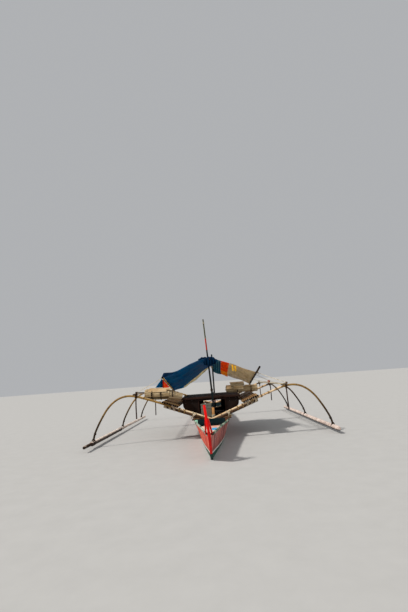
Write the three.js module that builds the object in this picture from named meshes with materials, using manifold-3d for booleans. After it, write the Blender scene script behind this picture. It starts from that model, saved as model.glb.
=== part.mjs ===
// A double-outrigger fishing canoe of the tropical islands: a slender plank-on-dugout hull with three
// pairs of bamboo booms, curved arms down to bamboo floats, a cloth awning on a ridge pole, a low
// deckhouse, and a shaft-driven propeller and rudder at the stern.
// Millimetres. +Z up, the bow towards -Y, port towards +X. The origin is on the waterline, on the
// centre line, under the middle pair of booms.
import * as THREE from "three";
import { mergeVertices } from "three/addons/utils/BufferGeometryUtils.js";
import Module from "manifold-3d";

const wasm = await Module();
wasm.setup();

// Driving dimensions
const GAP = 0.4; // between pieces that touch
const FIT = 1.2; // round pieces fitted inside the hull
const BOOM_Y = [-3100, 0, 3200]; // the three pairs of booms
const BOOM_ROOT_Z = 540; // height of a boom's centre line over the keel
const BOOM_SLOPE = 0.37; // rise of a boom for each mm outboard
const BOOM_R = 27;
const UNDER_POLE = { r: 35, drop: 58, end: 1290 }; // the shorter pole lashed under each boom
const BOOM_END_X = 1960;
const BOOM_OVERLAP = 280; // how far a boom runs past the centre line
const ARM_R = 27;
const FLOAT_X = 3240;
const FLOAT_Z = 130;
const FLOAT_R = 58;
const KNEE_X = 2070;
const RAIL_R = 20;
const PLANK = 22; // hull side thickness
const BOTTOM = 30; // dugout bottom thickness
const KEEL_HALF = 22; // half width of the keel and of the flat under the hull
const POST_HALF = 26; // half width of the stem and stern posts' seat
const CAP_OUT = 16; // gunwale cap outboard of the plank
const CAP_UP = 16; // gunwale cap above the plank
const CAP_DOWN = 16;
const BOW_DECK = { back: -4450, inset: 26, beams: [-5250, -4520], beamHalf: 25, beamDeep: 40 };
const MAST = { y: -2850, footX: 128, footZ: -150, footR: 34, headX: -52, headZ: 3335, headR: 17 };
const AWNING_POST = { x: 96, y: -200, r: 27, top: 2470 };
const RIDGE = { x: 52, frontZ: 2172, backZ: 2010, r: 15, front: -3050, back: 130 };
const EAVE_R = { port: 28, starboard: 24 };
const GUY_R = 7;
const CLOTH = 8;
const DECK = { x: 545, front: -2985, back: -330, z: 518, thick: 28 };
const BITT = { x: 54, y: -2948, half: 34, top: 825 };
const HOUSE = { front: -2620, back: -350, roof: 1092, wall: 20 };
const RUDDER = { y: 5480, stock: 17, foot: -560, head: 960 };
const SHAFT = { y: 4500, z: -400, r: 14, angle: THREE.MathUtils.degToRad(8) };
const PROP_R = 140;

const SIDES = [
  ["port", 1],
  ["starboard", -1],
];

// Colours and surfaces
const material = (color, roughness = 0.8, metalness = 0) =>
  new THREE.MeshStandardMaterial({ color, roughness, metalness });
const FINISH = {
  topside: material(0xc9695c),
  bottom: material(0x1d5648),
  rail: material(0x86b79b),
  red: material(0xe0220f, 0.55),
  teal: material(0x11444a),
  bamboo: material(0xc5a06a),
  darkBamboo: material(0x5c4028),
  wood: material(0x8a6a48),
  cream: material(0xd9d2bd),
  bowDeck: material(0xd3bdb6),
  float: material(0xddc9bd),
  mast: material(0x1c2d2b),
  house: material(0x2c1d15),
  blue: material(0x0d3566, 0.6),
  patch: material(0xc8401f),
  canvas: material(0xb3936b),
  blind: material(0xb5a283),
  rope: material(0xd8d6cc),
  steel: material(0x6d6f70, 0.45, 0.8),
  bronze: material(0x9c7a3c, 0.4, 0.9),
  engine: material(0x4a5055, 0.6, 0.5),
  grey: material(0x8d9189),
};

const boat = new THREE.Group();

function add(name, geometry, finish) {
  const mesh = new THREE.Mesh(geometry, finish);
  mesh.name = name;
  boat.add(mesh);
  return mesh;
}

// Solids
function solid(geometry) {
  const flat = (geometry.index ? geometry.toNonIndexed() : geometry).clone();
  for (const key of Object.keys(flat.attributes)) {
    if (key !== "position") flat.deleteAttribute(key);
  }
  const merged = mergeVertices(flat, 1e-3);
  return new wasm.Manifold(
    new wasm.Mesh({
      numProp: 3,
      vertProperties: new Float32Array(merged.attributes.position.array),
      triVerts: new Uint32Array(merged.index.array),
    }),
  );
}

function geometryOf(shape) {
  const mesh = shape.getMesh();
  const geometry = new THREE.BufferGeometry();
  geometry.setAttribute("position", new THREE.BufferAttribute(mesh.vertProperties, 3));
  geometry.setIndex(new THREE.BufferAttribute(mesh.triVerts, 1));
  geometry.computeVertexNormals();
  return geometry;
}

const unite = (shapes) => shapes.reduce((whole, shape) => whole.add(shape));

// A closed skin over sections that all have the same, even number of corners. Going round a section,
// its first half runs out along one edge and its second half comes back along the other. Facets of the
// two halves are split alike, so that a thin, twisted sheet keeps its thickness.
function loft(sections) {
  const n = sections[0].length;
  const points = sections.flat();
  const index = [];
  for (let s = 0; s + 1 < sections.length; s++) {
    for (let k = 0; k < n; k++) {
      const a = s * n + k;
      const b = s * n + ((k + 1) % n);
      if (k < n / 2) index.push(a, b, b + n, a, b + n, a + n);
      else index.push(a, b, a + n, b, b + n, a + n);
    }
  }
  const last = (sections.length - 1) * n;
  for (let k = 0; k + 1 < n / 2; k++) {
    const [a, b, c, d] = [k, k + 1, n - 2 - k, n - 1 - k];
    index.push(a, c, b, a, d, c);
    index.push(last + a, last + b, last + c, last + a, last + c, last + d);
  }
  const geometry = new THREE.BufferGeometry();
  geometry.setAttribute("position", new THREE.Float32BufferAttribute(points.flat(), 3));
  geometry.setIndex(index);
  geometry.computeVertexNormals();
  const shape = solid(geometry);
  if (shape.volume() > 0) return geometry;
  const turned = geometry.index.array.slice();
  for (let i = 0; i < turned.length; i += 3) {
    [turned[i + 1], turned[i + 2]] = [turned[i + 2], turned[i + 1]];
  }
  geometry.setIndex(new THREE.BufferAttribute(turned, 1));
  geometry.computeVertexNormals();
  return geometry;
}

function box(x0, x1, y0, y1, z0, z1) {
  const geometry = new THREE.BoxGeometry(x1 - x0, y1 - y0, z1 - z0);
  return geometry.translate((x0 + x1) / 2, (y0 + y1) / 2, (z0 + z1) / 2);
}

// A round pole from a to b, both [x, y, z]
function pole(a, b, r, sides = 10, rEnd = r) {
  const from = new THREE.Vector3(...a);
  const to = new THREE.Vector3(...b);
  const along = to.clone().sub(from);
  const geometry = new THREE.CylinderGeometry(rEnd, r, along.length(), sides);
  const turn = new THREE.Quaternion().setFromUnitVectors(
    new THREE.Vector3(0, 1, 0),
    along.clone().normalize(),
  );
  const middle = from.add(to).multiplyScalar(0.5);
  return geometry.applyQuaternion(turn).translate(middle.x, middle.y, middle.z);
}

// A tube of one radius along a smooth curve through points
function tube(points, r, sides, steps) {
  const curve = new THREE.CatmullRomCurve3(
    points.map((p) => new THREE.Vector3(...p)),
    false,
    "centripetal",
  );
  const ring = new THREE.Shape();
  for (let k = 0; k < sides; k++) {
    const turn = ((k + 0.5) / sides) * 2 * Math.PI;
    const corner = [r * Math.cos(turn), r * Math.sin(turn)];
    if (k === 0) ring.moveTo(...corner);
    else ring.lineTo(...corner);
  }
  ring.closePath();
  return new THREE.ExtrudeGeometry(ring, { steps, extrudePath: curve, bevelEnabled: false });
}

// A board cut to an outline of [y, z] corners, standing on the centre line
function board(outline, x0, x1) {
  const shape = new THREE.Shape(outline.map(([y, z]) => new THREE.Vector2(y, z)));
  const geometry = new THREE.ExtrudeGeometry(shape, { depth: x1 - x0, bevelEnabled: false });
  const turn = new THREE.Matrix4().makeBasis(
    new THREE.Vector3(0, 1, 0),
    new THREE.Vector3(0, 0, 1),
    new THREE.Vector3(1, 0, 0),
  );
  return geometry.applyMatrix4(turn).translate(x0, 0, 0);
}

// A board cut to an outline of [x, z] corners, standing across the boat from y0 to y1
function crossBoard(outline, y0, y1) {
  const shape = new THREE.Shape(outline.map(([x, z]) => new THREE.Vector2(x, z)));
  const geometry = new THREE.ExtrudeGeometry(shape, { depth: y1 - y0, bevelEnabled: false });
  return geometry.rotateX(Math.PI / 2).translate(0, y1, 0);
}

// Hull lines, bow to stern. Each row holds where the keel, chine and gunwale stand; the rows lean with
// the raked stem and stern.
const LINES = [
  // keelY, keelZ, chineY, chineX, chineZ, gunwaleY, gunwaleX, gunwaleZ
  [-5330, -10, -5560, POST_HALF, 130, -5980, POST_HALF, 525],
  [-4900, -170, -5000, 92, 100, -5280, 128, 518],
  [-4300, -255, -4300, 178, 70, -4300, 272, 508],
  [-3100, -280, -3100, 305, 42, -3100, 462, 500],
  [-1500, -285, -1500, 385, 22, -1500, 520, 495],
  [300, -285, 300, 405, 15, 300, 535, 495],
  [2000, -280, 2000, 375, 25, 2000, 505, 500],
  [3400, -250, 3400, 270, 55, 3400, 400, 515],
  [4280, -165, 4350, 150, 105, 4450, 250, 540],
  [4870, -30, 5080, POST_HALF, 185, 5330, POST_HALF, 580],
];
const ROW_STEPS = 3;
const LAST_ROW = LINES.length - 1;
const BILGE = { out: 0.62, up: 0.3 }; // the bilge's place between keel and chine

// The hull's lines at row t, counted from 0 at the stem
function linesAt(t) {
  const i = Math.min(Math.floor(t), LAST_ROW - 1);
  const u = t - i;
  const rows = [-1, 0, 1, 2].map((k) => LINES[THREE.MathUtils.clamp(i + k, 0, LAST_ROW)]);
  const value = rows[0].map((_, c) => {
    const [p0, p1, p2, p3] = rows.map((row) => row[c]);
    const m1 = (p2 - p0) / 2;
    const m2 = (p3 - p1) / 2;
    const bend = 2 * (p1 - p2) + m1 + m2;
    return p1 + u * (m1 + u * (p2 - p1 - m1 - bend + u * bend));
  });
  const [keelY, keelZ, chineY, chineX, chineZ, gunwaleY, gunwaleX, gunwaleZ] = value;
  return { keelY, keelZ, chineY, chineX, chineZ, gunwaleY, gunwaleX, gunwaleZ };
}

// The row whose line stands at y
function rowAt(y, line = "gunwaleY") {
  let low = 0;
  let high = LAST_ROW;
  for (let k = 0; k < 40; k++) {
    const middle = (low + high) / 2;
    if (linesAt(middle)[line] < y) low = middle;
    else high = middle;
  }
  return low;
}

function rowList(from, to) {
  const count = Math.round((to - from) * ROW_STEPS);
  return Array.from({ length: count + 1 }, (_, k) => from + ((to - from) * k) / count);
}

// Half of the hull's section at row t, from keel to gunwale, with the sides moved in by skin and the
// bottom moved up by floor
function halfSection(t, skin, floor, lift) {
  const h = linesAt(t);
  const x = (value) => Math.max(value - skin, 6);
  const grow = 1 + lift / (h.gunwaleZ - h.chineZ);
  const along = (from, to) => from + (to - from) * grow;
  const bilgeY = THREE.MathUtils.lerp(h.keelY, h.chineY, BILGE.up);
  const bilgeZ = THREE.MathUtils.lerp(h.keelZ, h.chineZ, BILGE.up);
  return {
    keel: [Math.min(KEEL_HALF, x(h.chineX)), h.keelY, h.keelZ + floor],
    bilge: [x(h.chineX * BILGE.out + KEEL_HALF * 0.4), bilgeY, bilgeZ + floor * 0.6],
    chine: [x(h.chineX), h.chineY, h.chineZ],
    gunwale: [
      x(along(h.chineX, h.gunwaleX)),
      along(h.chineY, h.gunwaleY),
      along(h.chineZ, h.gunwaleZ),
    ],
  };
}

function hullBody(from, to, names, skin = 0, floor = 0, lift = 0, raise = 0) {
  const sections = rowList(from, to).map((t) => {
    const half = halfSection(t, skin, floor, lift);
    const up = names.map((name) => half[name].slice());
    up[0][2] += raise;
    const down = up.map(([x, y, z]) => [-x, y, z]).reverse();
    return [...up, ...down];
  });
  return solid(loft(sections));
}

const BELOW = ["keel", "bilge", "chine"];
const ABOVE = ["chine", "gunwale"];
const WHOLE = ["keel", "bilge", "chine", "gunwale"];
const WELL = { from: 0.35, to: 8.6 }; // rows between which the hull is hollow
const wellOf = (skin, floor) => hullBody(WELL.from, WELL.to, WHOLE, skin, floor, 40);
const well = wellOf(PLANK, BOTTOM);

// The hull is four long planks: a bottom and a side to port and to starboard, all hollowed by the well
function hull() {
  const bottoms = hullBody(0, LAST_ROW, BELOW).subtract(well);
  const sides = hullBody(0, LAST_ROW, ABOVE, 0, 0, 0, GAP).subtract(well);
  for (const [side, s] of SIDES) {
    const [near, far] = [s * 0.2, s * 900];
    const half = solid(box(Math.min(near, far), Math.max(near, far), -7000, 7000, -500, 900));
    add(`hull_base_${side}`, geometryOf(bottoms.intersect(half)), FINISH.bottom);
    add(`topside_${side}`, geometryOf(sides.intersect(half)), FINISH.topside);
  }
}

const boomZ = (x) => BOOM_ROOT_Z + BOOM_SLOPE * x;

// Port booms lie just forward of starboard ones, so the two cross side by side over the keel
const boomOffset = (s) => -s * (UNDER_POLE.r + GAP);
const armOffset = (s) => boomOffset(s) + s * (BOOM_R + ARM_R + GAP);

// A boom is a long pole with a thicker, shorter one lashed under it
function boom(y, s, grow = 0) {
  const at = (x, drop) => [s * x, y + boomOffset(s), boomZ(x) - drop];
  const upper = pole(at(-BOOM_OVERLAP, 0), at(BOOM_END_X, 0), BOOM_R + grow, 10);
  const { r, drop, end } = UNDER_POLE;
  const under = pole(at(120, drop), at(end, drop), r + grow, 10);
  return unite([upper, under].map(solid));
}

// The cap on each gunwale, with a chock that fills up to each boom
function gunwales() {
  const chock = { half: 62, out: 40, top: 720 };
  for (const [side, s] of SIDES) {
    const sections = rowList(1 / 3, 26 / 3).map((t) => {
      const { gunwaleX: x, gunwaleY: y, gunwaleZ: z } = linesAt(t);
      return [
        [x - PLANK - 2, z + GAP],
        [x + GAP, z + GAP],
        [x + GAP, z - CAP_DOWN],
        [x + CAP_OUT, z - CAP_DOWN],
        [x + CAP_OUT, z + CAP_UP],
        [x - PLANK - 2, z + CAP_UP],
      ].map(([px, pz]) => [s * px, y, pz]);
    });
    let cap = solid(loft(sections));
    for (const y of BOOM_Y) {
      const { gunwaleX, gunwaleZ } = linesAt(rowAt(y));
      const x0 = s * (gunwaleX - 18);
      const x1 = s * (gunwaleX - 18 + chock.out);
      const base = gunwaleZ + CAP_UP - 5;
      const y0 = y - chock.half;
      const block = box(Math.min(x0, x1), Math.max(x0, x1), y0, y + chock.half, base, chock.top);
      cap = cap.add(solid(block));
    }
    for (const y of BOOM_Y) {
      cap = cap.subtract(boom(y, s, GAP)).subtract(solid(overBoom(y, s)));
    }
    add(`gunwale_${side}`, geometryOf(cap), FINISH.rail);
  }
}

// The short deck in the bow, let in between the caps, on two beams
function bowDeck() {
  const inside = wellOf(PLANK + FIT, BOTTOM + FIT);
  const rows = [...rowList(1 / 3, 5 / 3), rowAt(BOW_DECK.back)];
  const sections = rows.map((t) => {
    const { gunwaleX, gunwaleY: y, gunwaleZ: z } = linesAt(t);
    const x = gunwaleX - BOW_DECK.inset;
    return [
      [-x, y, z + GAP],
      [x, y, z + GAP],
      [x, y, z + CAP_UP],
      [-x, y, z + CAP_UP],
    ];
  });
  const beams = BOW_DECK.beams.map((y) => {
    const fore = y - BOW_DECK.beamHalf;
    const { gunwaleX, gunwaleZ: z } = linesAt(rowAt(fore));
    const x = gunwaleX - BOW_DECK.inset;
    const blank = box(-x, x, fore, y + BOW_DECK.beamHalf, z - BOW_DECK.beamDeep, z + 4);
    return solid(blank).intersect(inside);
  });
  add("bow_deck", geometryOf(unite([solid(loft(sections)), ...beams])), FINISH.bowDeck);
}

// Everything above the under pole's centre line, near the gunwale
function overBoom(y, s) {
  const low = (x) => boomZ(x) - UNDER_POLE.drop;
  const outline = [
    [s * 200, low(200)],
    [s * 900, low(900)],
    [s * 900, 1600],
    [s * 200, 1600],
  ];
  return crossBoard(outline, y - 200, y + 200);
}

// Outboard of the knee each arm bends down to its float: [x outboard, z]
const ARM_CURVE = [
  [1080, boomZ(1080)],
  [1500, boomZ(1500)],
  [1850, 1212],
  [KNEE_X, 1277],
  [2290, 1298],
  [2500, 1255],
  [2690, 1145],
  [2850, 985],
  [2985, 785],
  [3110, 560],
  [3205, 345],
  [FLOAT_X, FLOAT_Z + FLOAT_R + GAP + 1],
];

function boomsAndArms() {
  BOOM_Y.forEach((y, i) => {
    for (const [side, s] of SIDES) {
      add(`boom_${i + 1}_${side}`, geometryOf(boom(y, s)), FINISH.bamboo);
      const points = ARM_CURVE.map(([x, z]) => [s * x, y + armOffset(s), z]);
      const arm = solid(tube(points, ARM_R, 8, 20));
      const saddle = pole([s * FLOAT_X, -5000, FLOAT_Z], [s * FLOAT_X, 5000, FLOAT_Z], FLOAT_R + GAP, 24);
      add(`arm_${i + 1}_${side}`, geometryOf(arm.subtract(solid(saddle))), FINISH.bamboo);
    }
  });
}

// Floats: [y, radius] along each one. The starboard one is spliced from three bamboos.
const FLOAT_PROFILE = {
  port: [
    [-3580, 34],
    [-3555, 50],
    [-3480, FLOAT_R],
    [3920, FLOAT_R],
    [4010, 52],
    [4030, 36],
  ],
  starboard: [
    [-3850, 30],
    [-3835, 38],
    [-3290, 42],
    [-3270, 54],
    [-3200, FLOAT_R],
    [-330, FLOAT_R],
    [-300, 46],
    [3990, 42],
    [4030, 32],
  ],
};

function floats() {
  for (const [side, s] of SIDES) {
    const profile = FLOAT_PROFILE[side];
    const first = profile[0][0];
    const last = profile[profile.length - 1][0];
    const outline = [[0, first], ...profile.map(([y, r]) => [r, y]), [0, last]];
    const geometry = new THREE.LatheGeometry(
      outline.map(([r, y]) => new THREE.Vector2(r, y)),
      16,
    );
    add(`float_${side}`, geometry.translate(s * FLOAT_X, 0, FLOAT_Z), FINISH.float);
  }
}

// A rail along the knees of each side's arms, with upright sticks lashed to it. The port sticks stand
// outboard of the rail and the starboard ones inboard.
const RAIL_Z = 1277 + ARM_R + RAIL_R + 4;
const KNEE_POSTS = {
  // boom, top, bottom
  port: [
    [0, 1390, 655],
    [1, 1372, 715],
    [2, 1372, 712],
  ],
  starboard: [
    [0, 1400, 680],
    [1, 1372, 487],
    [2, 1372, 600],
  ],
};
const POST_R = 18;

function kneeRails() {
  for (const [side, s] of SIDES) {
    const from = [s * KNEE_X, BOOM_Y[0] - 170, RAIL_Z];
    const rail = pole(from, [s * KNEE_X, BOOM_Y[2] + 160, RAIL_Z], RAIL_R, 8);
    const posts = KNEE_POSTS[side].map(([row, top, bottom]) => {
      const x = s * KNEE_X + RAIL_R + POST_R - 2;
      const y = BOOM_Y[row] + armOffset(s) - ARM_R - POST_R - GAP;
      return pole([x, y, bottom], [x, y, top], POST_R, 8);
    });
    add(`knee_rail_${side}`, geometryOf(unite([rail, ...posts].map(solid))), FINISH.darkBamboo);
  }
}

// Boards on edge across the hull, just forward of each pair of booms, notched over the gunwales
function crossBoards() {
  const deep = 158;
  const thick = 28;
  const inside = wellOf(PLANK + FIT, BOTTOM + FIT);
  BOOM_Y.forEach((y, i) => {
    const aft = y + boomOffset(1) - UNDER_POLE.r - GAP;
    const fore = aft - thick;
    const here = [fore, aft].map((edge) => linesAt(rowAt(edge)));
    const gunwaleX = Math.min(...here.map((h) => h.gunwaleX));
    const gunwaleZ = Math.max(...here.map((h) => h.gunwaleZ));
    const seat = gunwaleZ + CAP_UP + 1;
    const top = seat + 42;
    const neck = gunwaleX - PLANK - 12;
    const parts = [
      solid(box(-700, 700, fore, aft, top - deep, gunwaleZ)).intersect(inside),
      solid(box(-neck, neck, fore, aft, gunwaleZ - 12, top)),
      solid(box(30 - gunwaleX, gunwaleX - 30, fore, aft, seat, top)),
    ];
    const chocks = [gunwaleX, -gunwaleX].map((x) => box(x - 45, x + 45, y - 63, y + 63, 500, 800));
    const board = unite(parts).subtract(unite(chocks.map(solid)));
    add(`cross_board_${i + 1}`, geometryOf(board), FINISH.teal);
  });
}

// Stem: the tall prow board, leaning a little to starboard, with a cheek nailed to each side of it
// that stands on the gunwale
function stem() {
  const forefoot = rowList(0, KEEL_ROW).map((t) => [linesAt(t).keelY, linesAt(t).keelZ - GAP]);
  const [, keelLow] = keelFront();
  const { chineY, chineZ, gunwaleY, gunwaleZ } = linesAt(0);
  const outline = [
    ...forefoot.reverse(),
    [chineY - 1, chineZ],
    [gunwaleY - 1, gunwaleZ],
    [-6040, 800],
    [-6050, 1105],
    [-6125, 1120],
    [-6150, 800],
    [-6085, 520],
    [-5680, 95],
    [-5400, -90],
    [keelLow[0] - 2, keelLow[1]],
  ];
  const leant = board(outline, -POST_HALF + 1, POST_HALF - 1);
  const place = leant.attributes.position;
  for (let i = 0; i < place.count; i++) {
    place.setX(i, place.getX(i) - Math.max(place.getZ(i) - 560, 0) * 0.11);
  }
  const cheeks = SIDES.map(([, s]) => {
    // x, y, z, half length of the cheek's foot and head
    const ends = [
      [s * 72 - 16, -5620, 470, 105],
      [s * 26 - 32, -6030, 850, 60],
    ];
    const sections = ends.map(([x, y, z, half]) => [
      [x - 14, y - half, z],
      [x + 14, y - half, z],
      [x + 14, y + half, z],
      [x - 14, y + half, z],
    ]);
    return solid(loft(sections)).subtract(solid(capBlank(s)));
  });
  add("stem_post", geometryOf(unite([solid(leant), ...cheeks])), FINISH.red);
}

// The hull and cap that a cheek stands on, a little proud
function capBlank(s) {
  const sections = rowList(0, 1).map((t) => {
    const { gunwaleX: x, gunwaleY: y, gunwaleZ: z } = linesAt(t);
    const corners = [
      [0, z - 200],
      [x + 80, z - 200],
      [x + 80, z + CAP_UP + GAP],
      [0, z + CAP_UP + GAP],
    ];
    return corners.map(([px, pz]) => [s * px, y, pz]);
  });
  return loft(sections);
}

// The row where the keel is scarfed to the stem, and the scarf's top and foot
const KEEL_ROW = 2 / 3;

function keelFront() {
  const { keelY, keelZ } = linesAt(KEEL_ROW);
  return [
    [keelY, keelZ - GAP],
    [keelY + 20, keelZ - 95],
  ];
}

// The keel's outline: its top follows the hull, with a skeg that rises aft
function keelBoard() {
  const top = rowList(KEEL_ROW, 9).map((t) => {
    const { keelY, keelZ } = linesAt(t);
    return [keelY, keelZ - GAP];
  });
  top[0][0] += 1;
  const low = [
    [4880, -95],
    [4300, -232],
    [3400, -330],
    [2000, -352],
    [-3600, -352],
    [-4500, -325],
    keelFront()[1],
  ];
  const half = KEEL_HALF - 1;
  return board([...top, ...low], -half, half);
}

// Keel, with the tube that the propeller shaft leaves by and the strut that carries its end
const shaftAt = (back) => [
  0,
  SHAFT.y - back * Math.cos(SHAFT.angle),
  SHAFT.z + back * Math.sin(SHAFT.angle),
];

function keel() {
  const bearing = pole(shaftAt(190), shaftAt(110), 32, 16);
  const leg = board(
    [
      [4170, -200],
      [4420, -170],
      [4400, -375],
      [4320, -365],
    ],
    -8,
    8,
  );
  const sternTube = pole(shaftAt(1150), shaftAt(700), 32, 12);
  const bore = pole(shaftAt(840), shaftAt(90), SHAFT.r + 1.2, 16);
  const shape = unite([keelBoard(), bearing, leg, sternTube].map(solid)).subtract(solid(bore));
  const hullBelow = hullBody(0, LAST_ROW, BELOW, -GAP, -GAP);
  add("keel", geometryOf(shape.subtract(hullBelow)), FINISH.bottom);
}

function sternPost() {
  const forward = [
    [5330, 580],
    [5080, 185],
    [4870, -30],
  ].map(([y, z]) => [y + 1, z]);
  const outline = [
    ...forward,
    [4881, -94],
    [5010, -60],
    [5150, 110],
    [5400, 560],
    [5425, 830],
    [5370, 835],
  ];
  const post = solid(board(outline, -POST_HALF + 1, POST_HALF - 1));
  const arms = [
    [5080, 90],
    [5360, 600],
  ].map(([y, z]) => solid(box(-38, 38, y, RUDDER.y + 38, z, z + 36)));
  const bore = solid(pole([0, RUDDER.y, -100], [0, RUDDER.y, 900], RUDDER.stock + 1.2, 16));
  add("stern_post", geometryOf(unite([post, ...arms]).subtract(bore)), FINISH.red);
}

// Keelson, floor timbers, mast step and engine bearers, fastened together in the bottom of the hull
const FLOOR_Y = [-4500, -3650, -2520, -1850, -950, -50, 850, 1750, 2650, 3450, 4150];

function framing() {
  const inside = wellOf(PLANK + FIT, BOTTOM + FIT);
  const line = rowList(4 / 3, 8).map((t) => {
    const { keelY, keelZ } = linesAt(t);
    return [keelY, keelZ + BOTTOM + FIT];
  });
  const keelson = board([...line, ...line.map(([y, z]) => [y, z + 42]).reverse()], -48, 48);
  const floors = FLOOR_Y.map((y) => {
    const { keelZ } = linesAt(rowAt(y, "keelY"));
    return box(-700, 700, y - 18, y + 18, keelZ, keelZ + 120);
  });
  const bearers = [-140, 140].map((x) => box(x - 30, x + 30, -1950, -850, -260, -60));
  const step = box(30, 205, MAST.y - 90, MAST.y + 90, -300, MAST.footZ - 6);
  const fitted = [keelson, ...floors, ...bearers, step].map((part) => solid(part).intersect(inside));
  const hole = mast(6).intersect(solid(box(-900, 900, -4000, 0, MAST.footZ - 6, 900)));
  add("framing", geometryOf(unite(fitted).subtract(hole)), FINISH.wood);
}

// Seats across the hull. The mast passes through the first.
const SEATS = [
  // y, half width fore and aft, top
  [-2850, 120, 330],
  [1000, 105, 345],
  [2150, 105, 345],
  [3700, 230, 390],
];

function seats() {
  const inside = wellOf(PLANK + FIT, BOTTOM + FIT);
  SEATS.forEach(([y, half, top], i) => {
    const plank = solid(box(-600, 600, y - half, y + half, top - 24, top)).intersect(inside);
    add(`seat_${i + 1}`, geometryOf(plank.subtract(mast(4))), FINISH.cream);
  });
}

// The post that the boat is moored by, standing on the deck behind the first pair of booms
function bitt() {
  const { x, y, half, top } = BITT;
  const foot = DECK.z + DECK.thick + GAP;
  add("bitt", box(x - half, x + half, y - half, y + half, foot, top), FINISH.wood);
}

// Mast and awning frame: the mast leans to starboard
function mastX(z) {
  const up = (z - MAST.footZ) / (MAST.headZ - MAST.footZ);
  return THREE.MathUtils.lerp(MAST.footX, MAST.headX, up);
}

function mast(grow = 0) {
  const foot = [mastX(MAST.footZ - grow), MAST.y, MAST.footZ - grow];
  const head = [MAST.headX, MAST.y, MAST.headZ];
  return solid(pole(foot, head, MAST.footR + grow, 12, MAST.headR + grow));
}

const EAVES = {
  port: { front: [1440, -3050, 1838], back: [1352, 60, 1278] },
  starboard: { front: [-1305, -3010, 1742], back: [-1300, 60, 1208] },
};

function mastAndFrame() {
  add("mast", geometryOf(mast()), FINISH.mast);
  const { x, y, r, top } = AWNING_POST;
  add("awning_post", pole([x, y, -205], [x, y, top], r, 10), FINISH.mast);
  const from = [RIDGE.x, RIDGE.front, RIDGE.frontZ];
  const to = [RIDGE.x, RIDGE.back, RIDGE.backZ];
  add("ridge_pole", pole(from, to, RIDGE.r, 10), FINISH.bamboo);
  for (const [side] of SIDES) {
    const { front, back } = EAVES[side];
    add(`eave_pole_${side}`, pole(front, back, EAVE_R[side], 8), FINISH.darkBamboo);
  }
}

// The awning's three cloths, from starboard to port: where the front and back edges lie at each x, and
// how far the hem at the back hangs down. The mast stands just ahead of them and the second post just
// behind them.
const CLOTHS = {
  // x, front y, front z, back y, back z, hem
  awning_blue: [
    [-1318, -2850, 1768, -240, 1297, 8],
    [-1275, -2850, 1800, -240, 1307, 10],
    [-898, -2850, 1905, -240, 1458, 55],
    [-520, -2845, 2078, -245, 1722, 80],
    [-180, -2825, 2198, -245, 1970, 80],
    [0, -2815, 2208, -245, 2050, 4],
    [118, -2815, 2201, -245, 2048, 4],
  ],
  awning_patch: [
    [118 + GAP, -2815, 2201, -245, 2048, 190],
    [378, -2820, 2092, -245, 1905, 160],
    [610, -2780, 2018, -245, 1800, 150],
  ],
  awning_canvas: [
    [610 + GAP, -2780, 2018, -245, 1800, 120],
    [980, -2480, 1872, -245, 1625, 85],
    [1330, -2200, 1752, -245, 1400, 30],
    [1378, -2180, 1745, -245, 1385, 12],
  ],
};
const CLOTH_FINISH = {
  awning_blue: FINISH.blue,
  awning_patch: FINISH.patch,
  awning_canvas: FINISH.canvas,
};

function awning() {
  const along = 4;
  for (const [name, rows] of Object.entries(CLOTHS)) {
    const sections = rows.map(([x, y0, z0, y1, z1, hem]) => {
      const low = Array.from({ length: along + 1 }, (_, k) => [
        x,
        THREE.MathUtils.lerp(y0, y1, k / along),
        THREE.MathUtils.lerp(z0, z1, k / along),
      ]);
      const high = low.map(([px, py, pz]) => [px, py, pz + CLOTH]);
      high[along][1] += CLOTH;
      const foot = [
        [x, y1, z1 - hem],
        [x, y1 + CLOTH, z1 - hem],
      ];
      return [...low, ...foot, ...high.reverse()];
    });
    add(name, loft(sections), CLOTH_FINISH[name]);
  }
}

// The low deckhouse amidships: a deck across the gunwales, sides that flare out, and a flat roof
function house() {
  const { x, z, thick } = DECK;
  const { front, back, roof, wall } = HOUSE;
  const top = z + thick;
  const deck = solid(box(-x, x, DECK.front, DECK.back, z, top));
  add("deck", geometryOf(deck.subtract(mast(5))), FINISH.wood);
  const half = [
    [505, top + GAP],
    [785, 868],
    [800, roof],
  ];
  const whole = [...half, ...half.map(([px, pz]) => [-px, pz]).reverse()];
  const hatch = solid(box(-330, 400, front - 50, front + 50, 640, 1010));
  const face = solid(crossBoard(whole, front, front + wall));
  add("house_front", geometryOf(face.subtract(hatch)), FINISH.house);
  const doorway = solid(box(-300, 300, back - 50, back + 50, 640, 1010));
  const rear = solid(crossBoard(whole, back - wall, back));
  add("house_back", geometryOf(rear.subtract(doorway)), FINISH.house);
  for (const [side, s] of SIDES) {
    const skin = [...half, ...half.map(([px, pz]) => [px - wall, pz]).reverse()];
    const outline = skin.map(([px, pz]) => [s * px, pz]);
    const panel = crossBoard(outline, front + wall + GAP, back - wall - GAP);
    add(`house_side_${side}`, panel, FINISH.house);
  }
  add("house_roof", box(-840, 840, front - 40, back + 40, roof + GAP, roof + 22), FINISH.house);
}

// A grey locker on the foredeck, to starboard of the mast
function locker() {
  const z = DECK.z + DECK.thick + GAP;
  add("locker", box(-275, 10, -2975, -2690, z, 925), FINISH.grey);
}

// Engine: a plain block on its bearers, under the deckhouse floor
function engine() {
  add("engine", box(-175, 175, -1720, -1080, -60 + GAP, 400), FINISH.engine);
}

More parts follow.
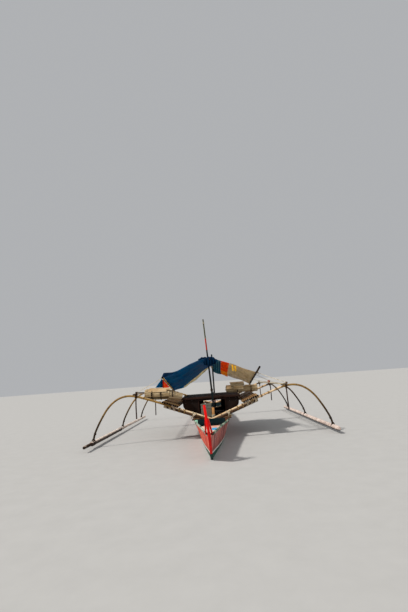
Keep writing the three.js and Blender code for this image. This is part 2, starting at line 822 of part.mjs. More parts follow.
// Side decks: bamboos laid fore and aft on the booms, on two battens
function sideDecks() {
  const first = 905;
  const count = 8;
  const pitch = 58;
  const r = 27;
  const tilt = Math.atan(BOOM_SLOPE);
  const lift = (BOOM_R + r + 2 * GAP) / Math.cos(tilt);
  const front = -3250;
  const back = 170;
  for (const [side, s] of SIDES) {
    const at = (k) => {
      const x = first + k * pitch * Math.cos(tilt);
      return [s * x, boomZ(x) + lift];
    };
    const bamboos = Array.from({ length: count }, (_, k) => {
      const [x, z] = at(k);
      const cut = 35 * (k % 3);
      const reach = k === count - 1 ? 90 : 0;
      return solid(pole([x, front + cut - reach, z], [x, back - cut, z], r, 8));
    });
    const battens = [-2700, -1500, -300].map((y) => {
      const [x0, z0] = at(0);
      const [x1, z1] = at(count - 1);
      const half = 18;
      const outline = [
        [x0, z0 - half],
        [x1, z1 - half],
        [x1, z1 + half],
        [x0, z0 + half],
      ];
      return solid(crossBoard(s > 0 ? outline : outline.reverse(), y - 30, y + 30));
    });
    add(`side_deck_${side}`, geometryOf(unite([...bamboos, ...battens])), FINISH.bamboo);
  }
}

// Rolled bamboo blinds for the awning's sides, lashed down where they are kept
const BLINDS = {
  // ends [x, y, z] of each roll, with the radius at either end
  starboard: [
    [[-1835, -2860, 1300], [-1150, -2830, 1275], 160, 150],
    [[-1160, -2830, 1275], [-800, -2810, 1190], 150, 80],
    [[-2060, -2870, 1368], [-900, -2820, 1300], 14, 14],
  ],
  port: [
    [[475, -2330, 1262], [1395, -2250, 1275], 108, 100],
    [[610, -2320, 1405], [1010, -2290, 1412], 62, 62],
  ],
};

function blinds() {
  for (const [side] of SIDES) {
    const rolls = BLINDS[side].map(([from, to, r0, r1]) => solid(pole(from, to, r0, 12, r1)));
    add(`rolled_blind_${side}`, geometryOf(unite(rolls)), FINISH.blind);
  }
}

// The awning's front guys, from the eave poles down to the first knee posts
function guys() {
  const ends = {
    port: [[1455, -2350, 1690], [2108, -3215, 1370]],
    starboard: [[-1345, -2820, 1730], [-2030, -3095, 1385]],
  };
  for (const [side] of SIDES) {
    const [from, to] = ends[side];
    add(`guy_${side}`, pole(from, to, GUY_R, 6), FINISH.rope);
  }
}

// Rudder: stock, blade and tiller turn as one
function rudder() {
  const { y, stock, foot, head } = RUDDER;
  const parts = [
    pole([0, y, foot], [0, y, head], stock, 16),
    board(
      [
        [y - 40, foot + 10],
        [y + 270, foot + 30],
        [y + 290, -120],
        [y - 10, -60],
      ],
      -5,
      5,
    ),
    pole([0, y + 40, head - 25], [0, y - 640, head - 5], 14, 8),
  ];
  add("rudder", geometryOf(unite(parts.map(solid))), FINISH.steel);
}

// Propeller: shaft, hub and three blades turn as one
function propeller() {
  const along = new THREE.Vector3(0, Math.cos(SHAFT.angle), -Math.sin(SHAFT.angle));
  const hub = solid(pole(shaftAt(45), shaftAt(-45), 30, 12, 20));
  const shaft = solid(pole(shaftAt(800), shaftAt(0), SHAFT.r, 16));
  const blades = [0, 1, 2].map((k) => {
    const outline = new THREE.Shape();
    outline.moveTo(-16, 15);
    outline.lineTo(16, 15);
    outline.lineTo(52, 80);
    outline.lineTo(40, 128);
    outline.lineTo(0, PROP_R);
    outline.lineTo(-36, 118);
    outline.lineTo(-46, 70);
    const blade = new THREE.ExtrudeGeometry(outline, { depth: 7, bevelEnabled: false });
    blade.translate(0, 0, -3.5).rotateY(THREE.MathUtils.degToRad(32));
    blade.rotateX(Math.PI / 2).rotateY((k * 2 * Math.PI) / 3);
    const turn = new THREE.Quaternion().setFromUnitVectors(new THREE.Vector3(0, 1, 0), along);
    return solid(blade).transform(turned(turn));
  });
  add("propeller", geometryOf(unite([hub, shaft, ...blades])), FINISH.bronze);
}

// A quaternion about the propeller's centre, as the column-major matrix that solids take
function turned(quaternion) {
  const matrix = new THREE.Matrix4().compose(
    new THREE.Vector3(0, SHAFT.y, SHAFT.z),
    quaternion,
    new THREE.Vector3(1, 1, 1),
  );
  return matrix.elements;
}

hull();
gunwales();
bowDeck();
stem();
keel();
sternPost();
framing();
seats();
bitt();
crossBoards();
boomsAndArms();
floats();
kneeRails();
sideDecks();
house();
locker();
engine();
mastAndFrame();
awning();
blinds();
guys();
rudder();
propeller();

export default boat;
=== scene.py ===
import math

import bpy
import numpy as np
from mathutils import Matrix, Vector


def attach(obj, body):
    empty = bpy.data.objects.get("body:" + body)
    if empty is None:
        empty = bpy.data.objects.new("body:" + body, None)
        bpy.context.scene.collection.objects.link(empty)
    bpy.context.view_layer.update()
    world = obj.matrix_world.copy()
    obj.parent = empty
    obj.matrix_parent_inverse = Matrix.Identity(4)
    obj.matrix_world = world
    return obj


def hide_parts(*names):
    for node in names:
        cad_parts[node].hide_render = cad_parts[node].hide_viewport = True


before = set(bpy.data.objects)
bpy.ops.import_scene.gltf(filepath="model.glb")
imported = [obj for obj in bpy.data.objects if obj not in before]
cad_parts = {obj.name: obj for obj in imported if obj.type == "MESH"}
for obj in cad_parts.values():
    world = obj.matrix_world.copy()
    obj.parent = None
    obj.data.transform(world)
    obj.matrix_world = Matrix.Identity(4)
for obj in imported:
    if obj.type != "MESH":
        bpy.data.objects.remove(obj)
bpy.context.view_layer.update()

# Camera: an eye 1.6 m above the water, ahead of the bow, on a boat that heels a little and lies a
# little off the line of sight
IMAGE = (408, 612)
FOCAL_PX = 360.0
SENSOR_MM = 36
EYE = 1.6
HORIZON_PX = 379.3
TILT = math.atan(0.028)
HEEL = math.radians(2.476)
YAW = math.radians(1.717)
OFFSET = np.array([0.239, 13.301, -EYE])


def aim_camera():
    rise = math.atan((HORIZON_PX - IMAGE[1] / 2) * math.cos(TILT) / FOCAL_PX)
    ch, sh, cy, sy = math.cos(HEEL), math.sin(HEEL), math.cos(YAW), math.sin(YAW)
    boat = np.array([[cy * ch, sy, -cy * sh], [-sy * ch, cy, sy * sh], [sh, 0, ch]])
    forward = np.array([0, math.cos(rise), math.sin(rise)])
    up = np.array([0, -math.sin(rise), math.cos(rise)])
    right = np.array([1.0, 0, 0])
    cr, sr = math.cos(TILT), math.sin(TILT)
    columns = [cr * right - sr * up, sr * right + cr * up, -forward, -OFFSET]
    data = bpy.data.cameras.new("Camera")
    data.sensor_width = SENSOR_MM
    data.lens = SENSOR_MM * FOCAL_PX / max(IMAGE)
    data.clip_end = 600
    camera = bpy.data.objects.new("Camera", data)
    camera.matrix_world = Matrix([*np.stack([boat.T @ column for column in columns], axis=1), (0, 0, 0, 1)])
    bpy.context.scene.collection.objects.link(camera)
    bpy.context.scene.camera = camera


aim_camera()

# Sizes, in metres, as in the solids
SIDES = (("port", 1), ("starboard", -1))
BOOM_Y = (-3.1, 0.0, 3.2)
BOOM_R, BOOM_END_X, BOOM_OVERLAP = 0.027, 1.96, 0.28
BOOM_FOOT, BOOM_SLOPE = 0.54, 0.37
UNDER_R, UNDER_DROP, UNDER_END = 0.035, 0.058, 1.29
ARM_R = 0.027
FLOAT_X, FLOAT_Z, FLOAT_R = 3.24, 0.13, 0.058
KNEE_X = 2.07
RAIL_R, POST_R, RAIL_Z = 0.02, 0.018, 1.328
PLANK = 0.022
DECK_TOP = 0.546
MAST_Y, MAST_FOOT, MAST_HEAD = -2.85, (0.128, -0.15), (-0.052, 3.335)
LINES = (
    # keel y and z, chine y, x and z, gunwale y, x and z, from the stem to the stern
    (-5.33, -0.01, -5.56, 0.026, 0.13, -5.98, 0.026, 0.525),
    (-4.9, -0.17, -5.0, 0.092, 0.1, -5.28, 0.128, 0.518),
    (-4.3, -0.255, -4.3, 0.178, 0.07, -4.3, 0.272, 0.508),
    (-3.1, -0.28, -3.1, 0.305, 0.042, -3.1, 0.462, 0.5),
    (-1.5, -0.285, -1.5, 0.385, 0.022, -1.5, 0.52, 0.495),
    (0.3, -0.285, 0.3, 0.405, 0.015, 0.3, 0.535, 0.495),
    (2.0, -0.28, 2.0, 0.375, 0.025, 2.0, 0.505, 0.5),
    (3.4, -0.25, 3.4, 0.27, 0.055, 3.4, 0.4, 0.515),
    (4.28, -0.165, 4.35, 0.15, 0.105, 4.45, 0.25, 0.54),
    (4.87, -0.03, 5.08, 0.026, 0.185, 5.33, 0.026, 0.58),
)


def boom_z(x):
    return BOOM_FOOT + BOOM_SLOPE * x


def boom_y(i, s):
    return BOOM_Y[i] - s * 0.0354


def arm_y(i, s):
    return BOOM_Y[i] + s * 0.019


def mast_x(z):
    share = (z - MAST_FOOT[1]) / (MAST_HEAD[1] - MAST_FOOT[1])
    return MAST_FOOT[0] + (MAST_HEAD[0] - MAST_FOOT[0]) * share


def cubic(a, b, m1, m2, u):
    """The curve from a to b, u of the way along, that leaves along m1 and arrives along m2."""
    bend = 2 * (a - b) + m1 + m2
    return a + u * (m1 + u * (b - a - m1 - bend + u * bend))


def lines_at(t):
    """The numbers of LINES at row t, counted from the stem."""
    i = min(int(t), len(LINES) - 2)
    p = [np.array(LINES[min(max(i + k, 0), len(LINES) - 1)]) for k in (-1, 0, 1, 2)]
    return cubic(p[1], p[2], (p[2] - p[0]) / 2, (p[3] - p[1]) / 2, t - i)


def row_at(y):
    """The row of LINES whose gunwale is at y."""
    low, high = 0.0, len(LINES) - 1.0
    for _ in range(40):
        middle = (low + high) / 2
        low, high = (middle, high) if lines_at(middle)[5] < y else (low, middle)
    return low


# Surfaces made of grids
CURVE_STEP = 0.03
CLOTH_THICK = 0.0016
NODE_RINGS = (
    # distance along, swelling and darkness of each ring of a bamboo's node
    (-0.016, 1.0, 0.25),
    (-0.006, 1.03, 0.8),
    (0, 0.985, 1.0),
    (0.005, 1.035, 0.9),
    (0.016, 1.0, 0.35),
)


def around(count):
    """Angles evenly round a circle."""
    return np.arange(count) / count * 2 * math.pi


def measure(path):
    return np.concatenate([[0], np.cumsum(np.linalg.norm(np.diff(path, axis=0), axis=1))])


def at(path, lengths, s):
    return np.stack([np.interp(s, lengths, path[:, k]) for k in range(path.shape[1])], axis=-1)


def quads(grid):
    """The four corner values of each cell of a grid."""
    return np.stack([grid[:-1, :-1], grid[:-1, 1:], grid[1:, 1:], grid[1:, :-1]], axis=2)


class Shape:
    """Vertices and faces with a lay map, which is in metres along and around, and two point values."""

    def __init__(self):
        self.count = 0
        self.points, self.loops, self.sizes, self.lay, self.mats = [], [], [], [], []
        self.values = {"tint": [], "ring": []}

    def faces(self, loops, lay, mat):
        """Faces from point indices, with the corners of each face along the last axis."""
        self.loops.append(loops.reshape(-1))
        self.sizes.append(np.full(loops.size // loops.shape[-1], loops.shape[-1]))
        self.lay.append(lay.reshape(-1, 2))
        self.mats.append(np.broadcast_to(mat, loops.shape[:-1]).reshape(-1))

    def grid(
        self, points, wrap=False, across=None, along=None, tint=0.0, ring=0.0, mat=0, caps=(False, False)
    ):
        """Rows of points joined up, into a ring with wrap, and closed over the ends with caps."""
        points = np.asarray(points, float)
        n, m, _ = points.shape
        index = self.count + np.arange(n * m).reshape(n, m)
        self.count += n * m
        self.points.append(points.reshape(-1, 3))
        for key, value in (("tint", tint), ("ring", ring)):
            value = np.asarray(value, float)
            value = value[:, None] if value.ndim == 1 else value
            self.values[key].append(np.broadcast_to(value, (n, m)).reshape(-1))
        if along is None:
            along = np.concatenate([[0], np.cumsum(np.linalg.norm(np.diff(points, axis=0), axis=2).mean(1))])
        if across is None:
            row = points[n // 2]
            across = measure(np.concatenate([row, row[:1]]) if wrap else row)
        closed = np.concatenate([index, index[:, :1]], axis=1) if wrap else index
        lay = np.stack(np.broadcast_arrays(np.asarray(across)[None], np.asarray(along)[:, None]), axis=-1)
        self.faces(quads(closed), quads(lay), mat)
        for end, wanted in enumerate(caps):
            if wanted:
                turn = slice(None, None, 1 if end else -1)
                x, y, z = points[-end][turn].T
                self.faces(index[-end][turn][None], np.stack([x + y, z], axis=-1), np.min(mat))

    def block(self, ends, tint=0.0, mat=0, soft=0.003):
        """A board from two facing quads of corners, with its edges eased by soft metres."""
        low, high = (np.asarray(end, float) for end in ends)
        axis = (high - low).mean(0)
        if np.dot(np.cross(low[1] - low[0], low[2] - low[0]), axis) < 0:
            low, high = low[::-1], high[::-1]
        ease = min(soft / np.linalg.norm(axis), 0.3)
        rows = []
        for share, pull in ((0, soft), (ease, 0), (1 - ease, 0), (1, soft)):
            quad = low + (high - low) * share
            ring = []
            for k in range(4):
                here = quad[k]
                sides = [quad[k - 1] - here, quad[(k + 1) % 4] - here]
                lengths = [max(np.linalg.norm(side), 1e-6) for side in sides]
                units = [side / length for side, length in zip(sides, lengths)]
                inner = here + (units[0] + units[1]) * min(pull, 0.3 * min(lengths))
                ring += [inner + unit * min(soft, 0.25 * length) for unit, length in zip(units, lengths)]
            rows.append(ring)
        self.grid(rows, wrap=True, tint=tint, mat=mat, caps=(True, True))

    def box(self, x0, x1, y0, y1, z0, z1, **finish):
        """A board square to the axes, laid along its longest side."""
        long_x, long_y, long_z = abs(x1 - x0), abs(y1 - y0), abs(z1 - z0)
        if long_y >= max(long_x, long_z):
            ends = [[(x0, y, z0), (x1, y, z0), (x1, y, z1), (x0, y, z1)] for y in (y0, y1)]
        elif long_x >= long_z:
            ends = [[(x, y0, z0), (x, y1, z0), (x, y1, z1), (x, y0, z1)] for x in (x0, x1)]
        else:
            ends = [[(x0, y0, z), (x1, y0, z), (x1, y1, z), (x0, y1, z)] for z in (z0, z1)]
        self.block(ends, **finish)

    def build(self, name, looks, slot, body="hull", nodes=(), sharp=35.0):
        """The piece, with the named looks in the order of their mat numbers."""
        mesh = bpy.data.meshes.new(name)
        points = np.concatenate(self.points)
        loops = np.concatenate(self.loops)
        sizes = np.concatenate(self.sizes)
        mesh.vertices.add(len(points))
        mesh.vertices.foreach_set("co", points.reshape(-1).astype(np.float32))
        mesh.loops.add(len(loops))
        mesh.loops.foreach_set("vertex_index", loops.astype(np.int32))
        mesh.polygons.add(len(sizes))
        starts = np.concatenate([[0], np.cumsum(sizes)[:-1]])
        mesh.polygons.foreach_set("loop_start", starts.astype(np.int32))
        mesh.polygons.foreach_set("material_index", np.concatenate(self.mats).astype(np.int32))
        mesh.update(calc_edges=True)
        mesh.validate()
        uv = mesh.uv_layers.new(name="Lay")
        uv.data.foreach_set("uv", np.concatenate(self.lay).reshape(-1).astype(np.float32))
        for key, parts in self.values.items():
            value = mesh.attributes.new(key, "FLOAT", "POINT")
            value.data.foreach_set("value", np.concatenate(parts).astype(np.float32))
        for look in looks.split():
            mesh.materials.append(LOOKS[look])
        mesh.polygons.foreach_set("use_smooth", np.ones(len(sizes), bool))
        mesh.set_sharp_from_angle(angle=math.radians(sharp))
        obj = bpy.data.objects.new(name, mesh)
        bpy.context.scene.collection.objects.link(obj)
        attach(obj, body)
        if nodes:
            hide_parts(*nodes)
        return obj


def frames(path, up=(0, 0, 1)):
    """Two directions square to a path at each of its points, carried along it without twist."""
    along = np.gradient(path, axis=0)
    along /= np.maximum(np.linalg.norm(along, axis=1, keepdims=True), 1e-12)
    first = np.asarray(up, float) - along[0] * np.dot(up, along[0])
    if np.linalg.norm(first) < 0.1:
        first = np.array([0, 1.0, 0]) - along[0] * along[0][1]
    normals = [first / np.linalg.norm(first)]
    for t in along[1:]:
        turned = normals[-1] - t * np.dot(normals[-1], t)
        normals.append(turned / np.linalg.norm(turned))
    normals = np.array(normals)
    return normals, np.cross(along, normals)


def spokes(turn, normals, side, flat=1.0):
    """Directions round each point of a path, at the angles in turn, flattened along its normals."""
    cos, sin = np.cos(turn)[None, :, None], np.sin(turn)[None, :, None]
    return cos * normals[:, None] * flat + sin * side[:, None]


def smooth_path(points):
    """A centripetal Catmull-Rom curve through points, sampled evenly."""
    p = np.asarray(points, float)
    p = np.concatenate([[2 * p[0] - p[1]], p, [2 * p[-1] - p[-2]]])
    out = []
    for i in range(1, len(p) - 2):
        a, b, c, d = quad = p[i - 1 : i + 3]
        g0, g1, g2 = np.maximum(np.linalg.norm(np.diff(quad, axis=0), axis=1) ** 0.5, 1e-4)
        count = max(2, int(np.linalg.norm(c - b) / CURVE_STEP) + 1)
        m1 = (b - a) / g0 - (c - a) / (g0 + g1) + (c - b) / g1
        m2 = (c - b) / g1 - (d - b) / (g1 + g2) + (d - c) / g2
        out.append(cubic(b, c, m1 * g1, m2 * g1, np.linspace(0, 1, count, endpoint=False)[:, None]))
    out.append(p[-2][None])
    return np.concatenate(out)


def tube(shape, path, radius, sides=6, tint=0.5, mat=0, up=(0, 0, 1), ring=0.0):
    path = np.asarray(path, float)
    radius = np.broadcast_to(np.asarray(radius, float), (len(path),))[:, None, None]
    rows = path[:, None] + radius * spokes(around(sides), *frames(path, up))
    across = np.arange(sides + 1) / sides * 2 * math.pi * float(radius.mean())
    finish = {"tint": tint, "ring": ring, "mat": mat}
    shape.grid(rows, wrap=True, across=across, along=measure(path), caps=(True, True), **finish)


def culm(shape, points, r0, r1, seed, pitch, sides=14, mat=0, dark=1, bend=False, closed=False):
    """A bamboo: swollen rings at its nodes, a small wander, and open ends painted dark inside as painted
    shade, or a closed far one.
    """
    rng = np.random.default_rng(seed)
    path = smooth_path(points) if bend else np.asarray(points, float)
    lengths = measure(path)
    total = lengths[-1]
    places = []
    s = rng.uniform(0.4, 0.9) * pitch
    while s < total - 0.05:
        places.append(s)
        s += pitch * rng.uniform(0.85, 1.15)
    stations = [(0.0, 1.0, 0.0)]
    edge = 0.0
    for place in places:
        gap = place - edge
        for share in np.arange(0.05, 0.99, 0.05 / gap if bend else 0.5):
            if edge + share * gap < place - 0.03:
                stations.append((edge + share * gap, 0.985, 0.0))
        stations += [(place + d, swell, ring) for d, swell, ring in NODE_RINGS]
        edge = place + 0.016
    if bend:
        for share in np.arange(0.06, 0.97, 0.06 / max(total - edge, 0.07)):
            stations.append((edge + share * (total - edge), 0.985, 0.0))
    stations.append((total, 1.0, 0.0))
    stations = np.array(sorted(stations))
    centre = at(path, lengths, stations[:, 0])
    normals, side = frames(centre)
    share = stations[:, 0] / total
    radius = (r0 + (r1 - r0) * share) * stations[:, 1]
    wander = 0.05 * r0 * np.sin(share * rng.uniform(5, 9) + rng.uniform(0, 6))
    centre = centre + side * wander[:, None]
    oval = 1 + 0.02 * np.cos(2 * around(sides) + rng.uniform(0, 3))
    out = spokes(around(sides), normals, side)
    rows = centre[:, None] + radius[:, None, None] * oval[None, :, None] * out
    across = np.arange(sides + 1) / sides * 2 * math.pi * r0
    along = stations[:, 0] + seed * 1.7
    finish = {"tint": rng.uniform(0, 1), "ring": stations[:, 2], "mat": mat}
    shape.grid(rows, wrap=True, across=across, along=along, **finish)
    deep = min(1.4 * r0, 0.3 * total)
    for end, is_open in enumerate((True, not closed)):
        row, tip, before = (rows[-1], centre[-1], centre[-2]) if end else (rows[0], centre[0], centre[1])
        middle = row.mean(0)
        inward = (before - tip) / np.linalg.norm(before - tip)
        rings = ((0.86, -0.15 * r0), (0.3, -0.2 * r0))
        if is_open:
            rings = ((0.78, 0.0), (0.78, deep), (0.7, deep))
        mouth = np.array([row] + [middle + (row - middle) * size + inward * depth for size, depth in rings])
        mouth = mouth if end else mouth[:, ::-1]
        # painted shade: an open end's mouth takes the dark look
        shape.grid(mouth, wrap=True, tint=0.3, mat=dark if is_open else mat, caps=(False, True))


def belt(circles, grow, count):
    """The closed line of a band drawn tight round circles of [x, y, radius]."""
    turn = around(64)
    round_ = np.stack([np.cos(turn), np.sin(turn)], -1)
    cloud = np.concatenate([np.array([x, y]) + (r + grow) * round_ for x, y, r in circles])
    cloud = cloud[np.lexsort((cloud[:, 1], cloud[:, 0]))]

    def half(points):
        line = []
        for p in points:
            while len(line) > 1 and np.cross(line[-1] - line[-2], p - line[-2]) <= 1e-12:
                line.pop()
            line.append(p)
        return line[:-1]

    line = np.array(half(cloud) + half(cloud[::-1]))
    line = np.concatenate([line, line[:1]])
    lengths = measure(line)
    return at(line, lengths, np.arange(count) / count * lengths[-1])


def lash(shape, centre, axis, circles, width, turns, rope=0.004, up=None, skew=0.0, mat=0, count=24, seed=0):
    """Rope wound round a pole of a radius, or round several: [sideways, upwards, radius] along axis."""
    rng = np.random.default_rng(seed + 11)
    circles = [(0, 0, circles)] if np.isscalar(circles) else circles
    axis = np.asarray(axis, float) / np.linalg.norm(axis)
    up = np.array(up or ((0, 1, 0) if abs(axis[2]) > 0.9 else (0, 0, 1)), float)
    high = up - axis * np.dot(up, axis)
    high /= np.linalg.norm(high)
    side = np.cross(high, axis)
    line = belt(circles, rope * 0.9, count)
    steps = int(turns * count)
    k = np.arange(steps + 1)
    flat = line[k % count]
    middle = line.mean(0)
    uneven = 1 + rng.normal(0, 0.05, steps + 1).cumsum() * 0.02
    shift = (k / steps - 0.5) * width * uneven + skew * (flat[:, 1] - middle[1])
    loose = 1 + 0.012 * np.sin(k * 0.9 + seed)
    path = (
        np.asarray(centre, float)
        + side[None] * (middle[0] + (flat[:, :1] - middle[0]) * loose[:, None])
        + high[None] * (middle[1] + (flat[:, 1:] - middle[1]) * loose[:, None])
        + axis[None] * shift[:, None]
    )
    tube(shape, path, rope, mat=mat, up=axis)


def knot(shape, centre, size, mat=0, seed=0, rope=0.005):
    """A small knot with two short tails."""
    rng = np.random.default_rng(seed + 5)
    centre = np.asarray(centre)
    turn = np.linspace(0, 4 * math.pi, 40)
    lift = rng.uniform(0.4, 1.2)
    wide = np.cos(turn) * (1 + 0.3 * np.sin(1.5 * turn))
    deep = np.sin(turn) * (1 + 0.3 * np.cos(1.5 * turn))
    tube(shape, centre + np.stack([wide, deep, lift * np.sin(1.5 * turn)], -1) * size * 0.5, rope, mat=mat)
    for sign in (-1, 1):
        end = np.array([sign * size * 0.9, rng.uniform(-1, 1) * size, -size * rng.uniform(1.4, 2.6)])
        tube(shape, centre + np.linspace(0, 1, 6)[:, None] * end, rope * 0.9, mat=mat)


def strand(shape, a, b, radius, sag, steps, mat=0):
    """A rope from a to b that sags at its middle."""
    u = np.linspace(0, 1, steps)[:, None]
    path = np.asarray(a, float) * (1 - u) + np.asarray(b, float) * u
    path[:, 2] -= (4 * sag * u * (1 - u))[:, 0]
    tube(shape, path, radius, mat=mat)


def turned(shape, centre, axis, side, rings, sides=6):
    """A small turned part: rings of (distance along the axis, radius), starting towards side."""
    centre, axis, side = (np.array(v, float) for v in (centre, axis, side))
    directions = spokes(around(sides), side[None], np.cross(axis, side)[None])[0]
    shape.grid([centre + axis * along + r * directions for along, r in rings], wrap=True, caps=(True, True))


def skin(shape, points, tint, mat=0):
    """A thin cloth on both sides of a grid of points, closed along its edges."""
    normal = np.cross(np.gradient(points, axis=1), np.gradient(points, axis=0))
    normal /= np.maximum(np.linalg.norm(normal, axis=2, keepdims=True), 1e-12)
    top, low = points + normal * CLOTH_THICK / 2, points - normal * CLOTH_THICK / 2
    edges = ((low[0], top[0]), (top[-1], low[-1]), (top[:, 0], low[:, 0]), (low[:, -1], top[:, -1]))
    for part in (top, low[:, ::-1], *(np.stack(edge) for edge in edges)):
        shape.grid(part, tint=tint, mat=mat)


# Finishes


def tone(code):
    """A colour of six hexadecimal digits as the shader takes it."""
    values = [int(code[k : k + 2], 16) / 255 for k in (0, 2, 4)]
    return tuple(((v + 0.055) / 1.055) ** 2.4 if v > 0.04045 else v / 12.92 for v in values)


class Value:
    """What a shader node gives out, with the sums that a finish needs."""

    def __init__(self, finish, socket):
        self.finish = finish
        self.socket = socket

    def math(self, operation, other=0.5):
        return self.finish.node("Math", {0: self, 1: other}, 0, operation=operation)

    def __add__(self, other):
        return self.math("ADD", other)

    def __sub__(self, other):
        return self.math("SUBTRACT", other)

    def __mul__(self, other):
        return self.math("MULTIPLY", other)

    def above(self, low, high):
        """0 below low and 1 above high."""
        inputs = {"Value": self, "From Min": low, "From Max": high}
        return self.finish.node("MapRange", inputs, "Result", interpolation_type="SMOOTHSTEP")

    def below(self, low, high):
        """1 below low and 0 above high."""
        return self.finish.node("Math", {0: 1.0, 1: self.above(low, high)}, 0, operation="SUBTRACT")

    def between(self, low, full, last, high):
        """0 outside low and high, 1 between full and last."""
        return self.above(low, full) * self.below(last, high)

    def lines(self, pitch, width):
        """1 in thin lines that stand pitch metres apart."""
        off = (self.math("DIVIDE", pitch).math("FRACT") - 0.5).math("ABSOLUTE")
        return off.above(0.5 - width / pitch, 0.5 - width / pitch / 2)


class Finish:
    """A material: its colour, roughness and relief are made of noise, bands and mixes."""

    def __init__(self, name, **fixed):
        self.material = bpy.data.materials.new(name)
        self.material.use_nodes = True
        self.tree = self.material.node_tree
        self.shader = self.tree.nodes["Principled BSDF"]
        for key, value in {"Specular_IOR_Level": 0.15, **fixed}.items():
            self.shader.inputs[key.replace("_", " ")].default_value = value

    def put(self, socket, value):
        if isinstance(value, Value):
            self.tree.links.new(value.socket, socket)
        elif socket.type == "RGBA":
            socket.default_value = (*tone(value), 1.0)
        else:
            socket.default_value = value

    def node(self, kind, inputs, output, **settings):
        node = self.tree.nodes.new("ShaderNode" + kind)
        for key, value in settings.items():
            setattr(node, key, value)
        for key, value in inputs.items():
            self.put(node.inputs[key], value)
        return Value(self, node.outputs[output])

    def place(self, scale=1, lay=False):
        """Where a point is, in the object or on the lay map."""
        source = self.node("UVMap", {}, "UV", uv_map="Lay") if lay else self.node("TexCoord", {}, "Object")
        scale = scale if np.ndim(scale) else (scale,) * 3
        return self.node("Mapping", {"Vector": source, "Scale": scale}, "Vector")

    def noise(self, scale, detail=3.0, rough=0.55, warp=0.0, lay=False):
        inputs = {"Vector": self.place(scale, lay), "Scale": 1.0}
        inputs |= {"Detail": detail, "Roughness": rough, "Distortion": warp}
        return self.node("TexNoise", inputs, "Fac")

    def cells(self, scale, lay=False):
        return self.node("TexVoronoi", {"Vector": self.place(scale, lay), "Scale": 1.0}, "Distance")

    def axis(self, letter, lay=False):
        return self.node("SeparateXYZ", {"Vector": self.place(lay=lay)}, letter)

    def value(self, name):
        return self.node("Attribute", {}, "Fac", attribute_name=name)

    def ramp(self, fac, *stops):
        """A run of greys or colours: each stop has a place and a value."""
        value = self.node("ValToRGB", {"Fac": fac}, "Color")
        for element, (place, shade) in zip(value.socket.node.color_ramp.elements, stops):
            element.position = place
            element.color = (*(tone(shade) if isinstance(shade, str) else (shade,) * 3), 1.0)
        return value

    def mix(self, fac, a, b):
        return self.node("Mix", {0: fac, 6: a, 7: b}, 2, data_type="RGBA")

    def done(self, color, rough, height, strength, distance):
        self.put(self.shader.inputs["Base Color"], color)
        self.put(self.shader.inputs["Roughness"], rough)
        inputs = {"Height": height, "Strength": strength, "Distance": distance}
        self.put(self.shader.inputs["Normal"], self.node("Bump", inputs, "Normal"))
        return self.material


def bamboo(name, pale, warm, dark, shade=0.5, foot=None):
    """Dried bamboo: fibres along it, blotches, dark rings at its nodes, and darker from just below its top
    down to its foot.
    """
    f = Finish(name)
    fibre = f.noise((300, 7, 1), 4, 0.6, lay=True)
    blotch = f.noise((12, 2.4, 1), 5, 0.65, lay=True)
    mould = f.noise((34, 15, 1), 4, 0.7, lay=True)
    color = f.ramp(blotch, (0.34, warm), (0.62, pale))
    color = f.mix(f.value("tint") * shade, color, warm)
    color = f.mix(fibre.above(0.42, 0.75) * 0.45, color, dark)
    color = f.mix(mould.above(0.58, 0.7) * 0.55, color, dark)
    color = f.mix(f.value("ring").above(0.3, 1.0) * 0.75, color, dark)
    if foot is not None:
        # darker from 1.24 m down to 0.45 m: the arm below its crest and its foot
        color = f.mix(f.axis("Z").below(0.45, 1.24) * 0.9, color, foot)
    rough = f.ramp(blotch * 0.5 + mould * 0.5, (0.3, 0.42), (0.7, 0.72))
    return f.done(color, rough, fibre * 0.6 + mould * 0.5, 0.45, 0.0015)


def timber(name, pale, dark, grey, scale=(3, 90, 90), rough=0.78):
    """Bare weathered wood with its grain along one axis."""
    f = Finish(name)
    grain = f.noise(scale, 5, 0.6, 0.6)
    wear = f.noise(2.2, 4, 0.6)
    spots = f.noise(30, 3, 0.6).above(0.63, 0.7)
    color = f.ramp(grain, (0.36, dark), (0.6, pale))
    color = f.mix(wear.above(0.42, 0.64) * 0.6, color, grey)
    color = f.mix(f.value("tint") * 0.35, color, dark)
    color = f.mix(spots * 0.5, color, dark)
    shine = f.ramp(wear, (0.3, rough - 0.1), (0.7, min(rough + 0.12, 1.0)))
    return f.done(color, shine, grain - spots * 0.3, 0.5, 0.002)


def paint(name, main, faded, stain, bare, rough, streak, chips=0.66, boards=None, fade=0.55):
    """Brushed paint: faded areas, streaks running down, chips to what lies under it, and seams of boards."""
    f = Finish(name)
    large = f.noise((1.7, 1.7, 2.4), 4, 0.6)
    run = f.noise(streak, 4, 0.6)
    chip = (f.noise(55, 4, 0.65) * 0.5 + run * 0.5).above(chips, chips + 0.03)
    color = f.mix(large.above(0.38, 0.66) * fade, main, faded)
    color = f.mix(run.above(0.5, 0.72) * 0.5, color, stain)
    color = f.mix(chip, color, bare)
    height = f.noise((18, 18, 130), 3, 0.6) * 0.35 - chip * 0.6
    if boards is not None:
        letter, pitch, width = boards
        seam = f.axis(letter).lines(pitch, width)
        color = f.mix(seam * 0.8, color, stain)
        height = height - seam * 2.0
    shine = f.ramp(large, (0.35, rough - 0.1), (0.7, min(rough + 0.2, 1.0)))
    return f.done(color, shine, height, 0.4, 0.0015)


